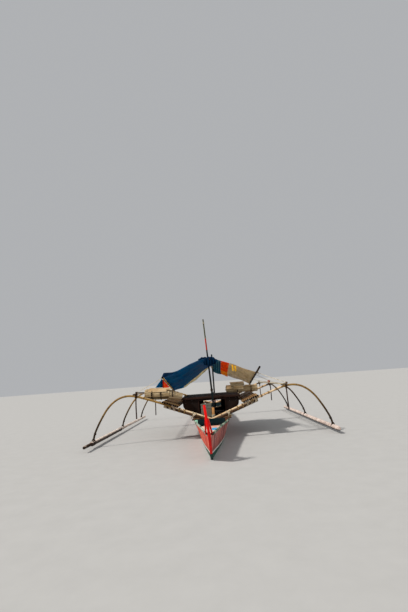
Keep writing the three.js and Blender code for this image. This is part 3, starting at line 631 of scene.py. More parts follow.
def weave(name, main, faded, crease, pitch, rough, through, stripes=None, spots=None):
    """Woven cloth that lets some light through: threads, faded areas, soiled creases, stripes or spots."""
    glow = {"Subsurface_Weight": through, "Subsurface_Scale": 0.012, "Subsurface_Radius": (1, 1, 1)}
    f = Finish(name, Specular_IOR_Level=0.03, **glow)
    large = f.noise((1.6, 1.6, 1), 4, 0.6, lay=True)
    soil = f.noise((7, 2.2, 1), 5, 0.65, 0.4, lay=True)
    color = f.mix(large.above(0.38, 0.66) * 0.6, main, faded)
    if stripes is not None:
        letter, gap, width, code = stripes
        color = f.mix(f.axis(letter, lay=True).lines(gap, width), color, code)
    if spots is not None:
        size, edge, code = spots
        color = f.mix(f.cells((size, size, 1), lay=True).below(edge - 0.05, edge), color, code)
    color = f.mix(soil.above(0.46, 0.68) * 0.55, color, crease)
    color = f.mix(f.value("ring") * 0.6, color, crease)
    warp, weft = ((f.axis(letter, lay=True) * (2 * math.pi / pitch)).math("SINE") for letter in "XY")
    shine = f.ramp(large, (0.3, rough - 0.08), (0.7, min(rough + 0.12, 1.0)))
    return f.done(color, shine, warp * weft * 0.25 + soil * 1.4, 0.5, 0.002)


def rope_finish(name, pale, dark):
    """Laid rope: its strands turn round it."""
    f = Finish(name)
    twist = (f.axis("Y", lay=True) * 520.0 + f.axis("X", lay=True) * 900.0).math("SINE")
    dirt = f.noise(9, 4, 0.6)
    color = f.mix(dirt.above(0.4, 0.7), pale, dark)
    color = f.mix(twist.below(-1.0, 0.3) * 0.6, color, dark)
    return f.done(color, f.ramp(dirt, (0.3, 0.75), (0.7, 0.95)), twist, 0.5, 0.0012)


def metal(name, bright, dull, rust, shine, amount):
    """Bare metal, clouded and scratched, with spots of rust."""
    f = Finish(name, Specular_IOR_Level=0.5)
    cloud = f.noise(9, 5, 0.65)
    spot = f.noise(26, 5, 0.7).above(amount, amount + 0.08)
    color = f.mix(spot, f.ramp(cloud, (0.35, dull), (0.65, bright)), rust)
    f.put(f.shader.inputs["Metallic"], f.ramp(spot, (0.0, 0.85), (1.0, 0.1)))
    rough = cloud * 0.3 + spot * 0.4 + (shine - 0.15)
    return f.done(color, rough, f.noise((8, 8, 160), 3, 0.6) * 0.4 + spot * 0.7, 0.35, 0.001)


def side_paint(name, main, faded, dark, pale, runs):
    """Faded topsides: a white line at the foot, streaks down the sides, scuffs along the strakes."""
    f = Finish(name)
    up = f.value("ring")
    large = f.noise((0.9, 0.9, 2.2), 4, 0.6)
    run = f.noise((1.5, 5, 0.5), 4, 0.65)
    grain = f.noise((1.2, 3.0, 42), 5, 0.6, 0.5)
    chip = (f.noise(60, 4, 0.65) * 0.55 + grain * 0.45).above(0.62, 0.645)
    color = f.mix(large.above(0.36, 0.66), main, faded)
    color = f.mix(run.above(0.51, 0.58) * runs, color, dark)
    color = f.mix(run.below(0.39, 0.46) * runs, color, pale)
    color = f.mix(grain.above(0.5, 0.72) * 0.3, color, pale)
    color = f.mix(up.below(0.05, 0.34) * run * 0.8, color, dark)
    color = f.mix(chip, color, "d8c4b4")
    line = (up + (f.noise(20) - 0.5) * 0.03).below(0.075, 0.085)
    color = f.mix(line, color, f.mix(run.above(0.45, 0.7), "e6e4dc", "b9b4a4"))
    shine = f.ramp(large, (0.35, 0.42), (0.68, 0.66))
    return f.done(color, shine, grain * 0.8 - chip * 0.5 + run * 0.3, 0.45, 0.002)


def bottom_paint():
    """Dark green below the line, with weed and a chalky scum towards the waterline."""
    f = Finish("bottom_paint")
    z = f.axis("Z")
    large = f.noise((2, 2, 3), 5, 0.62)
    weed = f.noise((14, 9, 22), 5, 0.7)
    under = z.below(-0.03, 0.03)
    barnacle = f.cells(38).below(0.12, 0.2) * under
    color = f.ramp(large, (0.34, "0a3630"), (0.66, "17594b"))
    color = f.mix(weed.above(0.45, 0.62) * under * 0.8, color, "5b5f3c")
    color = f.mix(z.between(-0.02, 0.01, 0.02, 0.07) * weed * 0.5, color, "8d9078")
    color = f.mix(barnacle * large.above(0.5, 0.6), color, "c9c3ae")
    return f.done(color, f.ramp(weed, (0.3, 0.5), (0.7, 0.85)), weed * 0.7 + barnacle, 0.5, 0.003)


def rail_paint():
    """Chalky green on the gunwale cap, worn to the wood, paler on the starboard cap as painted highlight, with
    bare dark chocks.
    """
    f = Finish("rail_paint")
    fine = f.noise((16, 5, 16), 5, 0.72)
    color = f.mix(f.noise((6, 3, 6), 4, 0.6).above(0.42, 0.56), "4c6a58", "9ea894")
    # painted highlight: pale chalky patches on the starboard cap only, the side the light falls on
    color = f.mix(f.axis("X").below(-0.02, 0.0) * fine.above(0.4, 0.5), color, "c9c8ba")
    color = f.mix(fine.above(0.47, 0.56) * 0.75, color, "2f4a3a")
    color = f.mix(fine.above(0.56, 0.59), color, "2c2218")
    chock = f.mix(fine.above(0.42, 0.6), "6e5438", "33251a")
    color = f.mix(f.axis("Z").above(0.534, 0.538), color, chock)
    return f.done(color, f.ramp(fine, (0.35, 0.6), (0.65, 0.85)), fine, 0.5, 0.002)


def stem_paint():
    """Bright red stem, dark green below the water's edge."""
    f = Finish("stem_paint")
    large = f.noise((2, 2, 3), 4, 0.6)
    run = f.noise((14, 14, 2), 4, 0.62)
    worn = f.noise(55, 4, 0.66) * 0.5 + run * 0.5
    color = f.mix(large.above(0.4, 0.66), "e40c06", "cc120a")
    color = f.mix(run.above(0.5, 0.68) * 0.6, color, "9c120a")
    color = f.mix(worn.above(0.65, 0.67), color, "d8a08a")
    dry = (f.axis("Z") + (run - 0.5) * 0.04).above(0.14, 0.15)
    color = f.mix(dry, f.mix(large, "0a2420", "16443a"), color)
    return f.done(color, f.ramp(large, (0.35, 0.35), (0.7, 0.6)), worn, 0.35, 0.0015)


def deck_paint():
    """Pinkish white on the bow deck's boards, with a cyan patch to port and grime along the seams."""
    f = Finish("deck_paint")
    large = f.noise(3, 4, 0.6)
    fine = f.noise((50, 14, 50), 5, 0.68)
    wobble = (f.noise(9) - 0.5) * 0.07
    color = f.mix(large.above(0.4, 0.62), "e8cbb8", "d49e88")
    length = (f.axis("Y") + wobble).between(-5.3, -5.28, -4.86, -4.84)
    width = (f.axis("X") + wobble).between(0.028, 0.036, 0.14, 0.15)
    color = f.mix(length * width, color, "2f9fd0")
    color = f.mix(fine.above(0.52, 0.66) * 0.6, color, "a98876")
    color = f.mix(fine.above(0.66, 0.69), color, "6a5240")
    return f.done(color, f.ramp(large, (0.35, 0.5), (0.7, 0.75)), fine, 0.45, 0.0015)


def mast_finish():
    """Black-green pole with a red length near its head and an olive tip."""
    f = Finish("mast_paint")
    z = f.axis("Z") + (f.noise(30) - 0.5) * 0.03
    run = f.noise((60, 60, 3), 4, 0.6)
    chip = f.noise((90, 90, 22), 4, 0.7).above(0.69, 0.72)
    red = z.between(2.425, 2.432, 2.755, 2.762) * f.axis("Y").below(-1.6, -1.5)
    color = f.mix(run.above(0.45, 0.7), "091416", "13262a")
    color = f.mix(red, color, f.mix(run.above(0.45, 0.7), "c22b16", "8f2a1b"))
    color = f.mix(z.above(2.757, 2.765), color, f.mix(run.above(0.4, 0.7), "4e4f2b", "2f2f1d"))
    color = f.mix(chip, color, "4d4232")
    return f.done(color, f.ramp(run, (0.35, 0.45), (0.7, 0.7)), (run - chip) * 0.6, 0.4, 0.0015)


def float_finish(name, low, high, mark, under, marks, shade_and_wet_from, tip=None):
    """Bleached bamboo, chalky, with the diagonal marks of an old binding, and dark below a height: weed and
    wet there, and painted shade on the lower side turned from the light.
    """
    f = Finish(name)
    band = (f.axis("Y", lay=True) + f.axis("X", lay=True) * 0.45).lines(0.17, 0.022)
    fibre = f.noise((240, 6, 1), 4, 0.6, lay=True)
    blotch = f.noise((9, 2.6, 1), 5, 0.65, lay=True)
    z = f.axis("Z") + (f.noise((16, 6, 16), 4, 0.65) - 0.5) * 0.05
    color = f.ramp(blotch, (0.34, low), (0.62, high))
    color = f.mix(band * blotch * marks, color, mark)
    color = f.mix(fibre.above(0.48, 0.75) * 0.3, color, mark)
    color = f.mix(f.value("ring") * 0.55, color, mark)
    if tip is not None:
        color = f.mix(f.axis("Y").below(-3.3, -3.26) * blotch.above(0.36, 0.5), color, tip)
        z = z + f.axis("Y").above(-0.36, -0.3) * 0.05
    # weed and painted shade: darker below the given height, set high on the starboard float, whose inboard
    # side is turned from the light
    color = f.mix(z.below(shade_and_wet_from - 0.02, shade_and_wet_from + 0.01) * 0.92, color, under)
    return f.done(color, f.ramp(blotch, (0.3, 0.55), (0.7, 0.8)), (fibre - band) * 0.5, 0.45, 0.0015)


def inside_paint():
    """Pinkish white inside the hull, with a cyan repair up in the bow and grime low down."""
    f = Finish("inside_paint")
    z = f.axis("Z")
    large = f.noise(3, 4, 0.6)
    repair = (f.axis("Y") + large * 0.25).between(-4.75, -4.72, -4.4, -4.37)
    color = f.mix(large.above(0.38, 0.64), "e2d2c9", "d6b3aa")
    color = f.mix(repair * z.above(0.22, 0.25), color, "59b9c4")
    color = f.mix(z.below(-0.05, 0.3) * f.noise((14, 14, 3), 4), color, "7b6452")
    color = f.mix(f.noise(50, 4, 0.7).above(0.66, 0.69), color, "9b8064")
    shine = f.ramp(large, (0.3, 0.6), (0.7, 0.82))
    return f.done(color, shine, f.noise((2, 4, 60), 4, 0.6), 0.4, 0.0015)


def hollow_finish():
    # painted shade: near black inside the bamboos' open ends, where the hollow lies in shade
    f = Finish("hollow_shade")
    pores = f.noise(120, 3, 0.6)
    color = f.ramp(pores, (0.35, "17100b"), (0.65, "3a2a1c"))
    return f.done(color, f.ramp(pores, (0.3, 0.85), (0.7, 1.0)), pores, 0.4, 0.001)


def floor_finish():
    f = Finish("floor")
    fine = f.noise(3, 3, 0.6)
    return f.done(f.ramp(fine, (0.3, "aeadab"), (0.7, "b2b1af")), 0.9, fine, 0.03, 0.001)


# seams and stripes: axis, pitch, width and the stripes' colour; spots: size, edge and colour
HOUSE_BOARDS = ("Z", 0.136, 0.006)
STRIPES = ("X", 0.075, 0.016, "5a9fae")
SPOTS = (7.0, 0.31, "2c0a06")
LOOKS = {
    # One paint in two copies: the port one darker and more mauve as painted shade, the starboard one brighter
    # and redder as painted sunlight.
    "topside_port": side_paint("topside_port_paint", "ac4228", "b06a66", "5c2418", "d0988c", 0.75),
    "topside_starboard": side_paint("topside_paint", "c02810", "cc4020", "842a14", "f0a080", 0.6),
    "inside": inside_paint(),
    "bottom": bottom_paint(),
    "rail": rail_paint(),
    "stem": stem_paint(),
    "bow_deck": deck_paint(),
    "red": paint("red_paint", "e3170a", "ee4a35", "a3150c", "e0b8a6", 0.42, (16, 16, 2), 0.665, fade=0.4),
    # partly painted shade: the cross boards' dark teal is taken nearly to black
    "teal": paint("teal_paint", "031c21", "0a2c31", "020c0f", "4d4c40", 0.5, (20, 20, 3), 0.65),
    "mint": paint("mint_block", "8fd0b2", "b3dfc9", "5a8f78", "50463a", 0.6, (20, 20, 20), 0.62),
    "brown": timber("brown_block", "7a4a2d", "3c2115", "8a6a50"),
    "bamboo": bamboo("bamboo", "f2e0c0", "c0925a", "402714"),
    "deck_bamboo": bamboo("deck_bamboo", "a88a5e", "755634", "35241a"),
    "olive": bamboo("arm_bamboo", "a88444", "6e4f24", "2a1b0b", 0.6, "180f07"),
    # painted shade: a darker copy of the arms' bamboo, for the second and third port arms
    "dark_olive": bamboo("arm_bamboo_shaded", "5a4526", "3a2b17", "160f08", 0.6, "120c06"),
    # the lower pole of each boom: brown bamboo, darkened further as painted shade for lying under the upper
    # pole
    "brown_bamboo": bamboo("brown_bamboo", "5e3f24", "362313", "140b06"),
    "dark_bamboo": bamboo("dark_bamboo", "40200e", "241107", "0b0503"),
    "rail_bamboo": bamboo("rail_bamboo", "d8d0ba", "a9997a", "4f4232"),
    # Both floats darken below a height, for weed and as painted shade; the starboard one's near-white top and
    # deep dark band are painted light and shade.
    "float_port": float_finish("float_bamboo", "bca89e", "e6d8ce", "80604f", "241a12", 1.0, 0.121),
    "float_starboard": float_finish(
        "float_bamboo_old", "d0b8a2", "fff2e6", "5a3e2c", "1e120a", 0.8, 0.163, "4a3222"
    ),
    "hollow": hollow_finish(),
    "wood": timber("wood", "b08a60", "6b4c30", "9b8c77"),
    "post_wood": timber("bitt_wood", "d08a48", "965c2c", "b08a5c", (90, 90, 4)),
    "plank": timber("deck_plank", "7a5a3a", "40291a", "6a5a48", (90, 3, 90)),
    # painted shade: the seats' cream paint is made a dark grey-brown, so the house's inside reads shaded
    "cream": paint("cream_paint", "8f846c", "a89c82", "5c5140", "4f3d2a", 0.7, (8, 60, 60), 0.6),
    "mast": mast_finish(),
    # painted shade: the deckhouse's boards are near black, much darker than their brown wood, for the shade
    # under the awning
    "house": paint("house_wood", "1a0e08", "2e1b10", "0a0503", "4a3020", 0.8, (30, 30, 3), 0.66, HOUSE_BOARDS),
    "roof": paint("roof_boards", "2a1a12", "4a3224", "120b07", "6c4c34", 0.8, (3, 50, 50), 0.64),
    # painted shade: the house's trim is darkened with its walls
    "rim": timber("rim_plank", "331a10", "180b06", "2a1c14", (3, 90, 90), 0.8),
    "grey": paint("grey_paint", "625f54", "757266", "34332c", "5c442f", 0.7, (20, 20, 3), 0.62),
    # The awning is seen from below: the blue, orange, canvas and strip colours are made brighter than the
    # cloths, painted light for the sun shining through them.
    "blue": weave("blue_cloth", "015a96", "0a6fa8", "013a5c", 0.004, 0.6, 0.1),
    "navy": weave("navy_cloth", "021f3a", "063352", "010b16", 0.004, 0.65, 0.0),
    "teal_cloth": weave("teal_striped_cloth", "0a5a80", "127492", "062c44", 0.003, 0.75, 0.1, stripes=STRIPES),
    "orange": weave("orange_cloth", "ff3406", "ff5a14", "c02006", 0.003, 0.75, 1.0, spots=SPOTS),
    "canvas": weave("canvas", "d6b48a", "e8cba2", "947048", 0.003, 0.85, 0.5),
    "strip": weave("strip_cloth", "ffca80", "ffdca0", "dca05c", 0.003, 0.85, 0.8),
    "red_cloth": weave("red_cloth", "ff2408", "ff4a18", "d01c08", 0.003, 0.75, 1.0),
    "yellow": weave("yellow_cloth", "e8a21c", "f6c448", "8a5c18", 0.003, 0.75, 0.5),
    "slats": bamboo("blind_slats", "e2d0ac", "94784e", "241809", 0.8),
    # partly painted highlight: a paler copy of the slats for the mats over the rolls' tops, where the light
    # falls
    "pale_slats": bamboo("blind_slats_bleached_and_lit", "e4cca6", "bc9a6c", "5a4228", 0.6),
    "cord": rope_finish("dark_cord", "3a2c22", "17110d"),
    "rope": rope_finish("rope", "b9b09a", "70664f"),
    "pale_rope": rope_finish("pale_rope", "e6dac2", "94815e"),
    "tan_rope": rope_finish("tan_rope", "a5834f", "54402a"),
    "brown_rope": rope_finish("brown_rope", "6b4c2e", "2b1d12"),
    "orange_rope": rope_finish("orange_rope", "d8662a", "8a3c18"),
    "steel": metal("steel", "8b8d8e", "5c5e60", "7a3f22", 0.45, 0.55),
    "bronze": metal("bronze", "b08a4a", "6f5228", "4f7a68", 0.35, 0.6),
    "engine": paint("engine_paint", "4a5158", "5d666e", "1c1a18", "6d4a34", 0.5, (20, 20, 3), 0.63),
}

# The solids that are shown as they are: nodes, look, width of the eased edges, and the least angle eased
DRESSED = (
    ("gunwale_port gunwale_starboard", "rail", 0.003, 30),
    ("keel", "bottom", 0.003, 30),
    ("framing", "wood", 0.003, 30),
    ("seat_1 seat_2 seat_3 seat_4", "cream", 0.003, 30),
    ("cross_board_1 cross_board_2 cross_board_3", "teal", 0.003, 30),
    ("stem_post", "stem", 0.004, 30),
    ("stern_post", "red", 0.004, 30),
    ("locker", "grey", 0.004, 30),
    ("house_front house_back house_side_port house_side_starboard", "house", 0.002, 30),
    ("bitt", "post_wood", 0.006, 30),
    ("engine", "engine", 0.012, 30),
    ("mast awning_post", "mast", 0.003, 50),
    ("rudder", "steel", 0.002, 40),
    ("propeller", "bronze", 0.0012, 40),
)


def dress(name, look, bevel, angle):
    """A CAD node's finish: its edges eased, its rounded faces shaded smooth."""
    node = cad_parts[name]
    mesh = node.data
    if "custom_normal" in mesh.attributes:
        mesh.attributes.remove(mesh.attributes["custom_normal"])
    mesh.materials.clear()
    mesh.materials.append(LOOKS[look])
    mesh.polygons.foreach_set("use_smooth", np.ones(len(mesh.polygons), bool))
    node.modifiers.new("Weld", "WELD").merge_threshold = 0.0001
    ease = node.modifiers.new("Bevel", "BEVEL")
    ease.width = bevel
    ease.segments = 2
    ease.limit_method = "ANGLE"
    ease.angle_limit = math.radians(angle)
    ease.harden_normals = False


# Hull
WELL = (0.35, 8.6)
ROWS = sorted({*np.round(np.linspace(0, 9, 127), 5), WELL[0] - 0.001, *WELL, WELL[1] + 0.001})
SEAMS = (1 / 3, 2 / 3)
UP = sorted(
    {0.0, 0.03, 0.06, 0.14, 0.22, 0.3, 0.41, 0.5, 0.59, 0.75, 0.83, 0.91, 0.97, 1.0}
    | {seam + d for seam in SEAMS for d in (-0.014, -0.006, 0.006, 0.014)}
)
SEAT_Y = ((-2.85, 0.12), (1.0, 0.105), (2.15, 0.105), (3.7, 0.23))


def hollow(t):
    return WELL[0] <= t <= WELL[1]


def bow_deck():
    """Boards let in between the gunwale caps, on the deck's two beams."""
    shape = Shape()
    edges = np.linspace(row_at(-5.76), row_at(-4.45), 12)
    for k, (fore, aft) in enumerate(zip(edges[:-1], edges[1:])):
        ends = []
        for t, gap in ((fore, 0.0012), (aft, -0.0012)):
            *_, y, x, z = lines_at(t)
            half, y = x - 0.0265, y + gap
            low, top = z + 0.0006, z + 0.016 - 0.001 * (k % 2)
            ends.append([(-half, y, low), (half, y, low), (half, y, top), (-half, y, top)])
        shape.block(ends, tint=(k * 0.37) % 1)
    for y in (-5.25, -4.52):
        *_, x, z = lines_at(row_at(y - 0.025))
        foot, head, low = x - 0.045, x - 0.03, z - 0.04
        ends = [[(-foot, v, low), (foot, v, low), (head, v, z), (-head, v, z)] for v in (y - 0.025, y + 0.025)]
        shape.block(ends, tint=0.6, mat=1)
    shape.build("bow_deck_boards", "bow_deck wood", "deck_paint", nodes=["bow_deck"])


def shell(shape, rows, s, outside, ring=0.0):
    """A plank's closed surface, row by row: its outside's points first, then its inside's."""
    inside = np.arange(rows.shape[1]) >= outside
    inside[-1] = False
    if s > 0:
        rows, inside = rows[:, ::-1], np.roll(inside[::-1], -1)
        ring = ring[:, ::-1] if np.ndim(ring) == 2 else ring
    shape.grid(rows * [s, 1, 1], wrap=True, mat=inside.astype(int), ring=ring, caps=(True, True))


def topsides():
    """Three strakes a side, with grooves along the seams."""
    for side, s in SIDES:
        shape = Shape()
        outer, inner = [], []
        for t in ROWS:
            _, _, cy, cx, cz, gy, gx, gz = lines_at(t)
            foot, head = np.array([cx, cy, cz]), np.array([gx, gy, gz])
            row = []
            for up in UP:
                point = foot + (head - foot) * up
                groove = 0.0026 if any(abs(up - seam) < 0.007 for seam in SEAMS) else 0.0
                point[0] += 0.0012 * math.sin(3 * math.pi * up) ** 2 - groove * min(1.0, cx / 0.08)
                row.append(point)
            outer.append(row)
            thin = PLANK if hollow(t) else 1.0
            inner.append([[max(x - thin, 0.0004), y, z] for x, y, z in (head, foot * 0.5 + head * 0.5, foot)])
        up = np.broadcast_to(UP + [0.9, 0.5, 0.2], (len(ROWS), len(UP) + 3))
        shell(shape, np.concatenate([outer, inner], axis=1), s, len(UP), up)
        # each side takes its own copy of the paint: port painted shaded, starboard painted lit
        looks = f"topside_{side} inside"
        shape.build(f"strakes_{side}", looks, "topside_paint", nodes=[f"topside_{side}"], sharp=50)


def bottom_row(t, thin, lift):
    """A bottom's section from its middle to its chine, moved in by thin and up by lift."""
    ky, kz, cy, cx, cz, *_ = lines_at(t)
    chine_x, bilge_x = (max(x - thin, 0.006) for x in (cx, cx * 0.62 + 0.0088))
    keel = np.array([min(0.022, chine_x), ky, kz + lift])
    bilge = np.array([bilge_x, ky + (cy - ky) * 0.3, kz + (cz - kz) * 0.3 + lift * 0.6])
    chine = np.array([chine_x, cy, cz])
    middle = keel * [0, 1, 1] + [0.0003, 0, 0]
    fore = bilge + (keel - bilge) * 0.22
    aft = bilge + (chine - bilge) * 0.22
    turn = bilge * 0.5 + (fore + aft) * 0.25
    return np.array([middle, keel, (keel + fore) / 2, fore, turn, aft, aft * 0.6 + chine * 0.4, chine])


def bottoms():
    for side, s in SIDES:
        shape = Shape()
        rows = []
        for t in ROWS:
            outer, inner = bottom_row(t, 0.0, 0.0), bottom_row(t, PLANK, 0.03)
            if not hollow(t):
                inner[:, 1:] = inner[-1, 1:]
            rows.append(np.concatenate([outer, inner[::-1]]))
        shell(shape, np.array(rows), s, len(outer))
        shape.build(f"bottom_{side}", "bottom inside", "bottom_paint", nodes=[f"hull_base_{side}"], sharp=50)


def ribs():
    shape = Shape()
    for k, y in enumerate(np.arange(-4.55, 4.2, 0.4)):
        by_seat = any(abs(y - seat) < half + 0.05 for seat, half in SEAT_Y)
        if by_seat or min(abs(y - boom) for boom in BOOM_Y) < 0.22:
            continue
        _, _, cy, cx, cz, gy, gx, gz = lines_at(row_at(y))
        for s in (1, -1):
            low = np.array([s * (cx - PLANK - 0.001), cy, cz + 0.02])
            high = np.array([s * (gx - PLANK - 0.001), gy, gz - 0.012])
            deep = -s * 0.026
            corners = np.array([(0, -0.014, 0), (0, 0.014, 0), (deep, 0.014, 0), (deep, -0.014, 0)])
            shape.block([low + corners, high + corners], tint=(k % 3) / 3)
    shape.build("side_ribs", "wood", "wood")


topsides()
bottoms()
ribs()
bow_deck()
for names, look, bevel, angle in DRESSED:
    for name in names.split():
        dress(name, look, bevel, angle)

# Outriggers
# x and z along each arm
ARM = (
    (1.08, boom_z(1.08)), (1.5, boom_z(1.5)), (1.85, 1.212), (2.07, 1.277), (2.29, 1.298), (2.5, 1.255),
    (2.69, 1.145), (2.85, 0.985), (2.985, 0.785), (3.11, 0.56), (3.205, 0.345), (3.24, 0.184),
)
# y and radius along each float
FLOATS = {
    "port": (
        (-3.58, 0.034), (-3.555, 0.05), (-3.48, 0.058), (3.92, 0.058), (4.01, 0.052), (4.03, 0.036),
    ),
    "starboard": (
        (-3.85, 0.03), (-3.835, 0.038), (-3.29, 0.042), (-3.27, 0.054), (-3.2, 0.058),
        (-0.33, 0.058), (-0.3, 0.046), (3.99, 0.042), (4.03, 0.032),
    ),
}
FLOAT_RINGS = (
    # distance along, swelling and darkness of each ring of a float's node
    (-0.025, 1.0, 0.2),
    (-0.009, 1.025, 0.7),
    (0, 0.98, 1.0),
    (0.008, 1.03, 0.8),
    (0.025, 1.0, 0.3),
)
# row, top and bottom of each knee post
KNEE_POSTS = {
    "port": ((0, 1.39, 0.655), (1, 1.372, 0.715), (2, 1.372, 0.712)),
    "starboard": ((0, 1.4, 0.68), (1, 1.372, 0.487), (2, 1.372, 0.6)),
}


def booms_and_arms():
    for i in range(3):
        for side, s in SIDES:
            shape = Shape()
            seed = 10 * i + (s > 0)
            boom = [(s * x, boom_y(i, s), boom_z(x)) for x in (-BOOM_OVERLAP, BOOM_END_X)]
            culm(shape, boom, BOOM_R, BOOM_R * 0.94, seed, 0.33, 16, dark=2)
            under = [(s * x, boom_y(i, s), boom_z(x) - UNDER_DROP) for x in (0.12, UNDER_END)]
            # the lower pole takes the darker brown bamboo, partly painted shade under the upper pole
            culm(shape, under, UNDER_R * 0.97, UNDER_R, seed + 3, 0.28, 16, mat=1, dark=2)
            looks, nodes = "bamboo brown_bamboo hollow", [f"boom_{i + 1}_{side}"]
            shape.build(f"boom_culms_{i + 1}_{side}", looks, "bamboo", nodes=nodes)
            shape = Shape()
            path = [(s * x, arm_y(i, s), z) for x, z in ARM]
            culm(shape, path, ARM_R, ARM_R * 0.96, seed + 40, 0.27, 16, bend=True, closed=True)
            # painted shade: the second and third port arms take the darker copy of the bamboo
            looks = "dark_olive hollow" if s > 0 and i > 0 else "olive hollow"
            shape.build(f"arm_culm_{i + 1}_{side}", looks, "bamboo", nodes=[f"arm_{i + 1}_{side}"])


def floats():
    for k, (side, s) in enumerate(SIDES):
        profile = np.array(FLOATS[side])
        rng = np.random.default_rng(70 + k)
        nodes = np.arange(profile[0, 0] + 0.3, profile[-1, 0] - 0.1, 0.42)
        nodes = nodes + rng.uniform(-0.05, 0.05, len(nodes))
        stations = [(y, 1.0, 0.0) for y, _ in profile]
        stations += [(y, 0.99, 0.0) for y in (nodes[1:] + nodes[:-1]) / 2]
        stations += [(y + d, grow, ring) for y in nodes for d, grow, ring in FLOAT_RINGS]
        stations = np.array(sorted(stations))
        y = stations[:, 0]
        radius = np.interp(y, profile[:, 0], profile[:, 1]) * stations[:, 1]
        path = np.stack([np.full(len(y), s * FLOAT_X), y, FLOAT_Z + 0.004 * np.sin(y * 1.3 + k)], -1)
        shape = Shape()
        tube(shape, path, radius, sides=24, ring=stations[:, 2], tint=0.3)
        shape.build(f"float_culm_{side}", f"float_{side}", "float_bamboo", nodes=[f"float_{side}"])
        ties = Shape()
        for i in range(3):
            y = arm_y(i, s)
            both = [(0, 0, float(np.interp(y, profile[:, 0], profile[:, 1]))), (0, FLOAT_R + 0.03, 0.022)]
            centre = (s * FLOAT_X, y, FLOAT_Z)
            for skew in (-0.3, 0.3):
                lash(ties, centre, (0, 1, 0), both, 0.02, 4, 0.0032, skew=skew, seed=i + 3)
            # a stay up the arm, seized to it
            foot, head = np.array([s * 3.222, y, 0.28]), np.array([s * 3.17, y, 0.43])
            lash(ties, (foot + head) / 2, head - foot, ARM_R, 0.04, 6, 0.0032, up=(1, 0, 0), seed=i + 8)
        for y in (-3.22, -0.36) if side == "starboard" else ():
            lash(ties, (s * FLOAT_X, y, FLOAT_Z), (0, 1, 0), FLOAT_R + 0.001, 0.05, 8, 0.0032, seed=31)
        ties.build(f"float_ties_{side}", "cord", "rope")


def knee_rails():
    for k, (side, s) in enumerate(SIDES):
        shape, ties = Shape(), Shape()
        x = s * KNEE_X
        rail = [(x, BOOM_Y[0] - 0.17, RAIL_Z), (x, BOOM_Y[2] + 0.16, RAIL_Z)]
        culm(shape, rail, RAIL_R, RAIL_R * 0.95, 80 + k, 0.26, 12)
        for row, top, bottom in KNEE_POSTS[side]:
            px = x + RAIL_R + POST_R - 0.002
            py = arm_y(row, s) - ARM_R - POST_R - 0.0004
            bow = 0.006 * (1 if row % 2 else -1)
            path = [(px, py, bottom), (px + bow, py - 0.002, (top + bottom) / 2), (px, py, top)]
            culm(shape, path, POST_R, POST_R * 0.9, 90 + 3 * k + row, 0.17, 12, mat=2, bend=True)
            post, pair = (px, py + 0.02, 1.283), [(0, 0, POST_R), (0, 0.044, 0.026)]
            for skew in (-0.9, 0.9):
                lash(ties, post, (0, 0, 1), pair, 0.05, 6, 0.0038, skew=skew, seed=row + 20)
            end, pair = (x, py - 0.055, RAIL_Z), [(0, 0, RAIL_R), (0.03, 0, 0.01)]
            lash(ties, end, (0, 1, 0), pair, 0.03, 5, 0.0036, seed=row + 50)
            over_arm, pair = (x, arm_y(row, s), RAIL_Z - 0.023), [(0, 0.022, RAIL_R), (0, -0.026, 0.022)]
            lash(ties, over_arm, (0, 1, 0), pair, 0.05, 7, 0.0038, seed=row + 60)
            knot(ties, (px - 0.015, py - POST_R - 0.004, 1.245), 0.028, seed=row + k, rope=0.0036)
        looks, nodes = "rail_bamboo hollow dark_bamboo", [f"knee_rail_{side}"]
        shape.build(f"knee_rail_culms_{side}", looks, "dark_bamboo", nodes=nodes)
        ties.build(f"knee_ties_{side}", "brown_rope", "rope")


def boom_lashings():
    """The seizings that hold each pair of poles together and down on the hull, and each arm to its boom."""
    seizings = ((0.72, 4, 0.03), (0.86, 5, 0.04), (1.0, 6, 0.07), (1.12, 6, 0.07), (1.24, 6, 0.07))
    pair = [(0, 0, BOOM_R), (0, -0.0545, UNDER_R)]
    for i in range(3):
        for side, s in SIDES:
            y = boom_y(i, s)
            ties, plain = Shape(), Shape()
            along = np.array([s, 0, BOOM_SLOPE])
            for n, (x, turns, width) in enumerate(seizings):
                shape, skew = (plain, 0.35) if n > 1 else (ties, 0)
                lash(shape, (s * x, y, boom_z(x)), along, pair, width, turns, 0.0036, skew=skew, seed=n + i)
            # crossed lashings over both poles and the gunwale
            x = lines_at(row_at(BOOM_Y[i]))[6] - 0.001
            for skew in (-0.6, 0.6):
                down = [*pair, (0, -0.13, 0.016)]
                lash(plain, (s * x, y, boom_z(x)), along, down, 0.035, 4, 0.0038, skew=skew, seed=i + 7)
            # arm and boom side by side
            beside = [(0, 0, BOOM_R), (-s * (arm_y(i, s) - y), 0, ARM_R)]
            for n, x in enumerate((1.14, 1.4, 1.6, 1.82)):
                lash(ties, (s * x, y, boom_z(x)), along, beside, 0.05, 6, 0.0036, seed=n + 12)
            ties.build(f"boom_ties_{i + 1}_{side}", "tan_rope", "rope")
            plain.build(f"boom_seizings_{i + 1}_{side}", "pale_rope", "rope")


